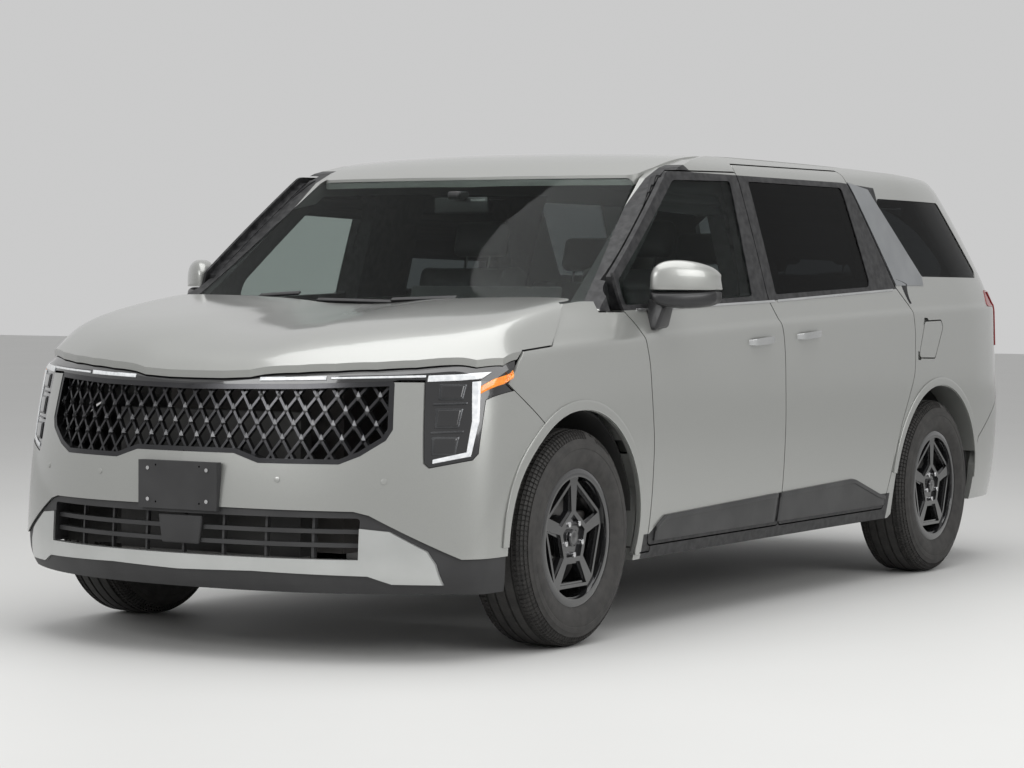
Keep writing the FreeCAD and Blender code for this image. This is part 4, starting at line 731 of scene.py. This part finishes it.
# Door handles
# A satin pull bar stands off each door's skin and bends back to it at both ends. The
# sliding doors have no joint, so their handles ride on the body.
HANDLES = [
    ("front_door_left", -0.277, 1.014, "front_door_left"),
    ("sliding_door_left", 0.141, 1.031, "body"),
]
HANDLE_LENGTH = 0.205
HANDLE_HEIGHT = 0.026
HANDLE_REACH = 0.034
HANDLE_DEPTH = 0.013
HANDLE_FOOT = 0.8
satin_bright = plain_finish("satin_bright", (0.5, 0.51, 0.51), (0.58, 0.585, 0.585), 0.24, 0.9, 700, 0.03)
for target, y, z, carrier in HANDLES:
    handle = unit_cube()
    bpy.ops.object.mode_set(mode="EDIT")
    bpy.ops.mesh.subdivide(number_cuts=9)
    bpy.ops.object.mode_set(mode="OBJECT")
    skins = {}
    for vertex in handle.data.vertices:
        share = vertex.co.y * 2
        spot = y + vertex.co.y * HANDLE_LENGTH
        key = round(spot, 4)
        if key not in skins:
            skins[key] = touch([target], "left", spot, z + 0.05 if abs(share) < 0.75 else z)[0].x
        arch = HANDLE_REACH * (1 - abs(share) ** 5) - 0.002
        deep = HANDLE_DEPTH + 0.01 * max(0, abs(share) - HANDLE_FOOT) / (1 - HANDLE_FOOT)
        tall = HANDLE_HEIGHT * (1 - 0.3 * share ** 4)
        x = skins[key] + arch + (vertex.co.x - 0.5) * deep
        vertex.co = Vector((x, spot, z + vertex.co.z * tall + 0.006 * share))
    rounded(handle, 0.003, angle=50)
    apply_modifier(handle, "SUBSURF", levels=1, render_levels=1)
    name = "handle_" + target.replace("_left", "")
    finish_piece(handle, name + "_left", satin_bright, carrier, 50)
    other_side(handle, name + "_right", carrier.replace("_left", "_right"))


# Five-spoke rims
# Light-alloy rims in gloss black. Between five straight spokes lie a window with a stepped
# frame and a slot outside it, and a shallow pentagon is sunk round the plain cap.
RIM_SEAT = 0.216
RIM_FLANGE = 0.236
RIM_HALF = 0.095
RIM_FACE = 0.088
SPOKE_HALF = 0.024
SPOKE_TURN = pi / 5
WINDOW_INNER = 0.088
WINDOW_OUTER = 0.15
SLOT_INNER = 0.168
PENTAGON = 0.064


def prism(points, start, end):
    """A closed block along X with the drawn outline."""
    bpy.ops.mesh.primitive_cylinder_add(vertices=len(points), radius=1, depth=1)
    block = bpy.context.object
    for index, vertex in enumerate(block.data.vertices):
        y, z = points[index // 2]
        vertex.co = Vector((start if vertex.co.z < 0 else end, y, z))
    outward(block)
    return block


def cut_away(piece, cutter):
    """Takes a block out of a piece and drops the block."""
    apply_modifier(piece, "BOOLEAN", object=cutter, operation="DIFFERENCE", solver="EXACT")
    bpy.data.objects.remove(cutter)


def around(points, index):
    """The outline turned to one of the five gaps between the spokes."""
    turn = Matrix.Rotation((index + 0.5) * 2 * pi / 5, 2)
    return [tuple(turn @ Vector(point)) for point in points]


def gap_half(reach):
    """Half the room between two spokes at a distance from the wheel's middle."""
    return reach * tan(SPOKE_TURN) - SPOKE_HALF / cos(SPOKE_TURN)


plate_radius = RIM_SEAT - 0.008
plate_turns = [pi * k / 48 for k in range(96)]
plate_edge = [(plate_radius * cos(turn), plate_radius * sin(turn)) for turn in plate_turns]
plate = prism(plate_edge, RIM_FACE - 0.028, RIM_FACE)
inner, outer, slot_half = gap_half(WINDOW_INNER), gap_half(WINDOW_OUTER), gap_half(SLOT_INNER)
pent_half = PENTAGON * tan(SPOKE_TURN)
step_inner, step_outer = inner + 0.007, outer + 0.009
RIM_CUTS = [
    ([(-inner, WINDOW_INNER), (inner, WINDOW_INNER), (outer, WINDOW_OUTER), (-outer, WINDOW_OUTER)], 0.04),
    ([(-step_inner, 0.081), (step_inner, 0.081), (step_outer, 0.157), (-step_outer, 0.157)], 0.008),
    ([(-slot_half, SLOT_INNER), (slot_half, SLOT_INNER), (slot_half + 0.004, 0.193), (0, 0.201),
      (-slot_half - 0.004, 0.193)], 0.04),
    ([(-pent_half, PENTAGON), (pent_half, PENTAGON), (0, -0.004)], 0.012),
]
for index in range(5):
    for outline, deep in RIM_CUTS:
        cut_away(plate, prism(around(outline, index), RIM_FACE - deep, RIM_FACE + 0.01))
rounded(plate, 0.0022, angle=40)
BARREL_OUTER = [
    (RIM_HALF - 0.0035, RIM_SEAT), (RIM_HALF - 0.0035, RIM_FLANGE - 0.005),
    (RIM_HALF + 0.004, RIM_FLANGE - 0.002), (RIM_HALF + 0.007, RIM_FLANGE - 0.008),
    (RIM_HALF + 0.005, RIM_SEAT - 0.01), (RIM_HALF - 0.01, RIM_SEAT - 0.014),
]
BARREL_INNER = [
    (-RIM_HALF + 0.004, RIM_SEAT - 0.012), (-RIM_HALF - 0.005, RIM_SEAT - 0.006),
    (-RIM_HALF - 0.007, RIM_FLANGE - 0.008), (-RIM_HALF - 0.004, RIM_FLANGE - 0.002),
    (-RIM_HALF + 0.0035, RIM_FLANGE - 0.005),
]
RIM_BARREL = [(-RIM_HALF + 0.0035, RIM_SEAT)] + BARREL_OUTER + BARREL_INNER
HUB_BACK, HUB_FRONT = RIM_FACE - 0.06, RIM_FACE - 0.027
RIM_HUB = [(HUB_BACK, 0.033), (HUB_BACK, 0.074), (HUB_FRONT, 0.074), (HUB_FRONT, 0.033)]
RIM_CAP = [
    (RIM_FACE - 0.016, 0.0005), (RIM_FACE - 0.016, 0.031), (RIM_FACE - 0.011, 0.031),
    (RIM_FACE - 0.007, 0.024), (RIM_FACE - 0.006, 0.0005),
]
rim_gloss = plain_finish(
    "rim_gloss", (0.008, 0.008, 0.0085), (0.016, 0.016, 0.017), 0.17, 0.0, 300, 0.03, 1.0
)
for place_name, carrier in WHEELS:
    side = 1 if "left" in place_name else -1
    centre = wheel_middle("tyre_" + place_name)
    face = twin(plate)
    face.rotation_euler = (0, 0, 0 if side > 0 else pi)
    face.location = centre
    finish_piece(face, "rim_face_" + place_name, rim_gloss, carrier, 30)
    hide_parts("rim_" + place_name)
    for part, profile, steps in (("barrel", RIM_BARREL, 96), ("hub", RIM_HUB, 48), ("cap", RIM_CAP, 48)):
        name = "rim_%s_%s" % (part, place_name)
        turned(name, profile, centre, side, steps, rim_gloss, carrier)
bpy.data.objects.remove(plate)

# Door mirrors
# Each mirror is a painted shell over a black lower half, sweeping back to its outer
# end, on a black foot at the window corner. Its glass isn't modelled.
# Sections outwards: (across, middle along the car, half depth, lowest, highest)
MIRROR_SECTIONS = [
    (0.972, -1.118, 0.026, 1.186, 1.262), (0.985, -1.111, 0.052, 1.158, 1.29),
    (1.012, -1.096, 0.066, 1.143, 1.308), (1.054, -1.066, 0.068, 1.138, 1.312),
    (1.1, -1.03, 0.064, 1.14, 1.303), (1.138, -0.99, 0.05, 1.147, 1.286),
    (1.155, -0.966, 0.028, 1.162, 1.262),
]
MIRROR_SPLIT = 1.205
BASE_TOP = 1.202
MIRROR_SQUARE = 0.7
mirror_paint = plain_finish("mirror_paint", PAINT[:3], PAINT_SHADE[:3], 0.34, 0.55, 2600, 0.03, 1.0)
mirror_shell = plain_finish(
    "mirror_shell_black", (0.012, 0.012, 0.013), (0.022, 0.022, 0.023), 0.32, 0.0, 300, 0.05
)
for part, material, slot in (("cap", mirror_paint, "paint"), ("base", mirror_shell, "black_plastic")):
    steps = len(MIRROR_SECTIONS) - 1
    bpy.ops.mesh.primitive_grid_add(x_subdivisions=32, y_subdivisions=steps, size=1)
    shell = bpy.context.object
    for vertex in shell.data.vertices:
        turn = (vertex.co.x + 0.5) * 2 * pi
        x, middle, deep, low, high = MIRROR_SECTIONS[round((vertex.co.y + 0.5) * steps)]
        if part == "base":
            deep -= 0.0008
            high = min(high, BASE_TOP)
        across = copysign(abs(cos(turn)) ** MIRROR_SQUARE, cos(turn))
        rise = copysign(abs(sin(turn)) ** MIRROR_SQUARE, sin(turn))
        height = (low + high) / 2 + (high - low) / 2 * rise
        if part == "cap":
            height = max(height, MIRROR_SPLIT)
        vertex.co = Vector((x, middle + deep * across, height))
    outward(shell)
    bpy.ops.object.mode_set(mode="EDIT")
    bpy.ops.mesh.select_all(action="DESELECT")
    bpy.ops.mesh.select_mode(type="EDGE")
    bpy.ops.mesh.select_non_manifold()
    bpy.ops.mesh.fill()
    bpy.ops.object.mode_set(mode="OBJECT")
    outward(shell)
    apply_modifier(shell, "SUBSURF", levels=2, render_levels=2)
    finish_piece(shell, "mirror_%s_left" % part, material, "front_door_left", 40)
    if part == "cap":
        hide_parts("mirror_left")
    right = other_side(shell, "mirror_%s_right" % part, "front_door_right")
    if part == "cap":
        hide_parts("mirror_right")
foot = prism([(-1.132, 1.062), (-1.034, 1.07), (-1.04, 1.172), (-1.104, 1.172)], 0.94, 1.024)
for vertex in foot.data.vertices:
    if vertex.co.x > 1.0 and vertex.co.z < 1.1:
        vertex.co.x -= 0.03
rounded(foot, 0.012, 3, angle=30)
finish_piece(foot, "mirror_foot_left", mirror_shell, "front_door_left", 40)
other_side(foot, "mirror_foot_right", "front_door_right")

# Door cladding
# A black moulded strip follows each door's lower edge, with a raised upper lip.
CLAD_TOP = [(-1.114, 0.349), (-1.021, 0.405), (-0.125, 0.428), (0.596, 0.445), (0.862, 0.37), (0.96, 0.352)]
CLAD_FLOOR = 0.318
CLAD_LIP = 0.016
clad_black = plain_finish(
    "cladding_black", (0.02, 0.02, 0.021), (0.034, 0.034, 0.035), 0.42, 0.0, 500, 0.12
)
for door, from_y, to_y, carrier in (
    ("front_door", -1.08, -0.105, "front_door_left"),
    ("sliding_door", -0.08, 0.93, "body"),
):
    inside = [point for point in CLAD_TOP if from_y < point[0] < to_y]
    upper = [(from_y, height_at(CLAD_TOP, from_y))] + inside + [(to_y, height_at(CLAD_TOP, to_y))]
    lower = [(y, CLAD_FLOOR) for y, _ in upper]
    under_lip = [(y, z - CLAD_LIP) for y, z in upper]
    look = (clad_black, carrier, "black_plastic")
    panel = [door + "_left"]
    draped_pair("cladding_" + door, panel, "left", lower, upper, 0.005, *look, 0.0, 40, 6, 0.0012)
    draped_pair("cladding_lip_" + door, panel, "left", under_lip, upper, 0.004, *look, 0.0045, 40, 2, 0.001)

# Wheel arch edges
# A raised lip in body colour runs round each wheel opening over the wing, the side and
# the bumper corners.
ARCH_INNER = 0.432
ARCH_OUTER = 0.466
for name, axle_y, targets, first_turn, last_turn in (
    ("arch_lip_front", -1.6425, ["fender_left", "front_bumper", "headlamps"], -12, 186),
    ("arch_lip_rear", 1.4475, ["body_side_left", "rear_bumper"], 2, 172),
):
    turns = [radians(degrees) for degrees in range(first_turn, last_turn, 6)]
    inner, outer = (
        [(axle_y + reach * cos(turn), TYRE_RADIUS + reach * sin(turn)) for turn in turns]
        for reach in (ARCH_INNER, ARCH_OUTER)
    )
    look = (silver_lacquer, "body", "paint")
    draped_pair(name, targets, "left", inner, outer, 0.007, *look, 0.0, 72, 4, 0.002)

# Window frames and bright strips
# A satin strip follows the lower edge of the side windows from the front door to the
# pillar ahead of the quarter glass, over the black frames.
STRIP_LOW = [(-1.385, 1.122), (-0.155, 1.156), (0.4, 1.181), (1.028, 1.203)]
STRIP_HIGH = [(-1.38, 1.131), (-0.155, 1.165), (0.4, 1.19), (1.028, 1.212)]
for door, from_y, to_y, carrier in (
    ("front_door", -1.18, -0.112, "front_door_left"),
    ("sliding_door", -0.088, 1.01, "body"),
):
    lower, upper = ([(y, height_at(line, y)) for y in (from_y, to_y)] for line in (STRIP_LOW, STRIP_HIGH))
    draped_pair(
        "waist_strip_" + door, [door + "_left"], "left", lower, upper,
        0.003, satin_bright, carrier, "silver_trim", 0.0003, 60, 2, 0.0008,
    )

# Windscreen surround
# Black cover strips run up the front pillars beside the windscreen.
PILLAR_INNER = [(0.93, 1.15), (0.905, 1.235), (0.85, 1.395), (0.79, 1.545), (0.752, 1.622)]
PILLAR_OUTER = [(0.972, 1.15), (0.953, 1.235), (0.9, 1.395), (0.842, 1.545), (0.806, 1.622)]
trim_black = plain_finish(
    "pillar_trim_black", (0.006, 0.006, 0.007), (0.012, 0.012, 0.013), 0.34, 0.0, 300, 0.04
)
set_values(trim_black.node_tree.nodes["Principled BSDF"], {"Specular IOR Level": 0.18})
draped_pair(
    "pillar_cover", ["body_side_left", "windscreen", "roof_panel"], "front", PILLAR_INNER, PILLAR_OUTER,
    0.003, trim_black, "body", "black_plastic", 0.0008, 48, 6, 0.001,
)

# Wipers
# Two black arms park along the foot of the windscreen, each with a flat blade.
wiper_black = plain_finish("wiper_black", (0.014, 0.014, 0.015), (0.022, 0.022, 0.023), 0.45, 0.1, 300, 0.08)
WIPER_LOOK = (wiper_black, "body", "black_plastic")
for name, root, tip in (
    ("wiper_left", (0.46, 1.128), (-0.2, 1.15)),
    ("wiper_right", (-0.22, 1.14), (-0.74, 1.158)),
):
    middle = ((root[0] + tip[0]) / 2, (root[1] + tip[1]) / 2 + 0.006)
    blade_low = [root, middle, tip]
    blade_high = [(a, b + 0.009) for a, b in blade_low]
    arm_low = [(root[0] - 0.08, root[1] + 0.026), middle]
    arm_high = [(a, b + 0.01) for a, b in arm_low]
    for part, low_line, high_line, shape in (
        ("_blade", blade_low, blade_high, (0.001, 40, 2, 0.002)),
        ("_arm", arm_low, arm_high, (0.012, 24, 2, 0.002)),
    ):
        thick = 0.01 if part == "_blade" else 0.008
        draped(name + part, ["windscreen"], "front", low_line, high_line, thick, *WIPER_LOOK, *shape)

# Front sensors and bracket screws
# Small round parking sensors sit in the bumper, and four screws hold the bare plate
# bracket.
for index, x in enumerate((-0.69, -0.363, 0.363, 0.69)):
    spot, normal = touch(["front_bumper"], "front", x, 0.589)
    bpy.ops.mesh.primitive_cylinder_add(vertices=28, radius=0.0095, depth=0.003)
    sensor = bpy.context.object
    rounded(sensor, 0.0008)
    sensor.rotation_mode = "QUATERNION"
    sensor.rotation_quaternion = normal.to_track_quat("Z", "Y")
    sensor.location = spot + normal * 0.0008
    finish_piece(sensor, "parking_sensor_%d" % index, mirror_paint, "body", 30)
screws = []
for x in (-0.12, 0.12):
    for z in (0.51, 0.612):
        found = touch(["plate_bracket"], "front", x, z)
        if found:
            spot = found[0] + Vector((0, -0.001, 0))
            bpy.ops.mesh.primitive_cylinder_add(
                vertices=20, radius=0.0065, depth=0.005, location=spot, rotation=(pi / 2, 0, 0)
            )
            screws.append(bpy.context.object)
finish_piece(joined(screws), "bracket_screws", nut_chrome, "body", 30)

# Lower intake cover
# A smooth black cover closes the middle of the lower intake, under the plate bracket.
intake_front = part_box("lower_grille")[0][1]
cover = unit_cube()
for vertex in cover.data.vertices:
    width = 0.18 if vertex.co.z > 0 else 0.15
    vertex.co = Vector((vertex.co.x * width, vertex.co.y * 0.016, vertex.co.z * 0.094))
cover.location = (0, intake_front + 0.012, 0.416)
bpy.ops.object.transform_apply(location=True)
rounded(cover, 0.006, 3)
finish_piece(cover, "intake_cover", grained_plastic, "body", 40)

# Tail lamps
# Upright red lamps wrap the rear corners, joined across the tailgate by a slim red bar;
# a darker raised block stands in each.
tail_red = plain_finish("tail_red", (0.2, 0.002, 0.003), (0.26, 0.004, 0.005), 0.16, 0.0, 240, 0.1, 0.4)
tail_block = plain_finish("tail_block", (0.1, 0.004, 0.005), (0.16, 0.006, 0.007), 0.25, 0.2, 200, 0.2, 1.0)
dress(["tail_lamps"], tail_red)
corner = ["body_side_left", "tail_lamps", "rear_bumper"]
for name, finish, lift, lower, upper in (
    ("tail_lens_upright", tail_red, 0.0004, [(0.8, 0.96), (0.945, 0.96)], [(0.8, 1.2), (0.935, 1.2)]),
    ("tail_inner_upright", tail_block, 0.0052, [(0.825, 0.985), (0.85, 0.985)],
     [(0.825, 1.175), (0.85, 1.175)]),
):
    draped_pair(name, corner, "rear", lower, upper, 0.005, finish, "body", "tail_lens", lift, 16, 24, 0.0012)


def across_rear(name, target, low, high, thick, finish, body, slot, *shape):
    """A moulding across the rear, from (first x, last x, z) to the same above it."""
    lower = [(low[0], low[2]), (low[1], low[2])]
    upper = [(high[0], high[2]), (high[1], high[2])]
    draped(name, [target], "rear", lower, upper, thick, finish, body, slot, *shape)


across_rear(
    "tail_bar", "tailgate", (-0.79, 0.79, 1.15), (-0.79, 0.79, 1.2),
    0.006, tail_red, "tailgate", "tail_lens", 0.0004, 80, 4, 0.0012,
)

# Rear bumper
# The rear bumper's lower half is black with a silver lower bar and two red reflectors.
across_rear(
    "rear_bumper_lower", "rear_bumper", (-0.8, 0.8, 0.31), (-0.84, 0.84, 0.52),
    0.004, clad_black, "body", "black_plastic", 0.0, 80, 12, 0.001,
)
across_rear(
    "rear_skid_bar", "rear_bumper", (-0.56, 0.56, 0.345), (-0.6, 0.6, 0.395),
    0.006, satin_bright, "body", "silver_trim", 0.0042, 60, 4, 0.0015,
)
for name, from_x, to_x in (("left", 0.64, 0.78), ("right", -0.78, -0.64)):
    across_rear(
        "rear_reflector_" + name, "rear_bumper", (from_x, to_x, 0.44), (from_x, to_x, 0.468),
        0.005, tail_red, "body", "tail_lens", 0.0042, 16, 3, 0.001,
    )

# Rear plate recess and handle
# A bare black panel for the plate lies on the tailgate under a slim grip moulding, and a
# wiper lies across the foot of the rear glass.
across_rear(
    "rear_plate_recess", "tailgate", (-0.3, 0.3, 0.86), (-0.33, 0.33, 1.01),
    0.003, clad_black, "tailgate", "black_plastic", 0.0004, 24, 10, 0.001,
)
across_rear(
    "tailgate_grip", "tailgate", (-0.33, 0.33, 1.015), (-0.33, 0.33, 1.04),
    0.012, satin_bright, "tailgate", "silver_trim", 0.0004, 24, 3, 0.003,
)
draped(
    "rear_wiper", ["tailgate_glass"], "rear", [(-0.06, 1.27), (0.33, 1.29)],
    [(-0.06, 1.28), (0.33, 1.3)], 0.01, wiper_black, "tailgate", "black_plastic", 0.001, 24, 2, 0.002,
)

# Seats
# Two front seats, two middle seats and a rear bench, each a stuffed cushion and back with
# sewn channels in dark hide, padded head restraints on steel posts and a plastic base.
seat_hide = plain_finish("seat_hide", (0.036, 0.036, 0.038), (0.052, 0.051, 0.053), 0.5, 0.0, 520, 0.28)
SWELL_CAP = 0.013
SKIN_ROOM = 0.024
VOXEL = 0.015
BOLSTER_FROM = 0.62
BOLSTER_RISE = 0.16
SEAM_HALF = 0.018
SEAM_DEPTH = 0.006
BACK_LEAN = -18


def soft_pad(size, sewn):
    """A stuffed pad: a slightly smaller rounded block swollen as cloth, then sewn along its channels."""
    pad = unit_cube()
    pad.scale = [edge - SKIN_ROOM for edge in size]
    bpy.ops.object.transform_apply(scale=True)
    rounded(pad, min(size) * 0.28, 4)
    pad.data.remesh_voxel_size = VOXEL
    bpy.ops.object.voxel_remesh()
    thin = size.index(min(size))
    for vertex in pad.data.vertices:
        edge = abs(vertex.co.x) / (size[0] / 2)
        faces_person = vertex.co[thin] * (1 if thin == 2 else -1) > 0
        if edge > BOLSTER_FROM and faces_person and size[0] > 0.3:
            vertex.co[thin] *= 1 + BOLSTER_RISE * min(1, (edge - BOLSTER_FROM) / 0.15)
    starts = [vertex.co.copy() for vertex in pad.data.vertices]
    cloth = pad.modifiers.new("stuffing", "CLOTH")
    cloth.settings.quality = 4
    cloth.settings.use_pressure = True
    cloth.settings.uniform_pressure_force = 4
    cloth.settings.effector_weights.gravity = 0
    for step in range(1, 21):
        scene.frame_set(step)
    bpy.ops.object.modifier_apply(modifier="stuffing")
    scene.frame_set(1)
    for vertex, start in zip(pad.data.vertices, starts):
        move = vertex.co - start
        if move.length > SWELL_CAP:
            vertex.co = start + move * (SWELL_CAP / move.length)
    apply_modifier(pad, "SUBSURF", levels=1, render_levels=1)
    for vertex in pad.data.vertices:
        for axis, place in sewn:
            off = abs(vertex.co[axis] - place)
            if off < SEAM_HALF and abs(vertex.normal[thin]) > 0.5:
                vertex.co[thin] -= copysign(SEAM_DEPTH * (1 - off / SEAM_HALF) ** 2, vertex.normal[thin])
    return pad


def lean_back(pivot):
    """The turn of a backrest about the point where it meets the cushion."""
    turn = Matrix.Rotation(radians(BACK_LEAN), 4, "X")
    return Matrix.Translation(pivot) @ turn @ Matrix.Translation(-pivot)


def place_pad(pad, name, spot, pivot=None):
    """A copy of a pad at its place in one seat, turned back with the backrest if it has a pivot."""
    piece = twin(pad)
    piece.data.transform(Matrix.Translation(Vector(spot)))
    if pivot:
        piece.data.transform(lean_back(pivot))
    finish_piece(piece, name, seat_hide, "body", 60)
    return piece


single_cushion = soft_pad((0.52, 0.5, 0.13), [(0, -0.16), (0, 0.16), (1, -0.1), (1, 0.06)])
single_back = soft_pad((0.52, 0.12, 0.64), [(0, -0.16), (0, 0.16), (2, -0.16), (2, 0.04), (2, 0.2)])
head_pad = soft_pad((0.26, 0.09, 0.17), [])
bench_cushion = soft_pad((1.18, 0.5, 0.13), [(0, -0.2), (0, 0.2), (1, 0.0)])
bench_back = soft_pad((1.18, 0.12, 0.64), [(0, -0.2), (0, 0.2), (2, 0.0)])
BENCH_FLOOR = 0.53
SEATS = [
    ("front_left", "front_seats", 0.38, -0.33, 0.66, (0,)),
    ("front_right", "front_seats", -0.38, -0.33, 0.66, (0,)),
    ("middle_left", "rear_seats", 0.42, 0.62, 0.61, (0,)),
    ("middle_right", "rear_seats", -0.42, 0.62, 0.61, (0,)),
    ("bench", "rear_seats", 0.0, 1.64, 0.65, (-0.4, 0, 0.4)),
]
for name, node_name, x, y, low_z, heads in SEATS:
    wide = name == "bench"
    pivot = Vector((x, y, low_z + 0.04))
    cushion_form, back_form = (bench_cushion, bench_back) if wide else (single_cushion, single_back)
    cushion = place_pad(cushion_form, "seat_cushion_" + name, (x, y - 0.25, low_z + 0.065))
    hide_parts(node_name)
    place_pad(back_form, "seat_back_" + name, (x, y + 0.02, low_z + 0.36), pivot)
    for index, head_x in enumerate(heads):
        head_spot = (x + head_x, y + 0.025, low_z + 0.785)
        place_pad(head_pad, "head_restraint_%s_%d" % (name, index), head_spot, pivot)
        posts = []
        for post_x in (-0.055, 0.055):
            post_spot = (x + head_x + post_x, y + 0.022, low_z + 0.7)
            bpy.ops.mesh.primitive_cylinder_add(vertices=16, radius=0.006, depth=0.14, location=post_spot)
            posts.append(bpy.context.object)
        head_posts = joined(posts)
        bpy.ops.object.transform_apply(location=True)
        head_posts.data.transform(lean_back(pivot))
        finish_piece(head_posts, "head_posts_%s_%d" % (name, index), nut_chrome, "body", 30)
    base_floor = BENCH_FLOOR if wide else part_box(node_name)[0][2]
    base = unit_cube()
    base.scale = (1.06 if wide else 0.4, 0.38, low_z - base_floor)
    base.location = (x, y - 0.25, (low_z + base_floor) / 2)
    bpy.ops.object.transform_apply(location=True, scale=True)
    rounded(base, 0.012, 3)
    finish_piece(base, "seat_base_" + name, grained_plastic, "body", 40)
for pad in (single_cushion, single_back, head_pad, bench_cushion, bench_back):
    bpy.data.objects.remove(pad)

# Cabin fittings
# A rear-view mirror on its mount hangs at the top of the windscreen, and a wide dark
# screen stands on the dashboard.
glass_spot = touch(["windscreen"], "front", 0.0, 1.545)[0]
dash_spot = touch(["dashboard"], "top", 0.2, -1.1)[0]
mirror_spot = glass_spot + Vector((0, 0.075, -0.03))
mount_spot = glass_spot + Vector((0, 0.052, 0.006))
screen_spot = dash_spot + Vector((0.05, 0.02, 0.05))
CABIN_BLOCKS = [
    ("inner_mirror", mirror_spot, (0.235, 0.022, 0.062), 0, 0.009, gloss_black, "black_plastic"),
    ("mirror_mount", mount_spot, (0.05, 0.08, 0.034), 0, 0.008, grained_plastic, "black_plastic"),
    ("dash_screen", screen_spot, (0.64, 0.018, 0.135), -14, 0.005, gloss_black, "dash_plastic"),
]
for name, spot, size, lean, edge, finish, slot in CABIN_BLOCKS:
    block = unit_cube()
    block.scale = size
    block.rotation_euler = (radians(lean), 0, 0)
    block.location = spot
    bpy.ops.object.transform_apply(location=True, rotation=True, scale=True)
    rounded(block, edge, 3)
    finish_piece(block, name, finish, "body", 40)
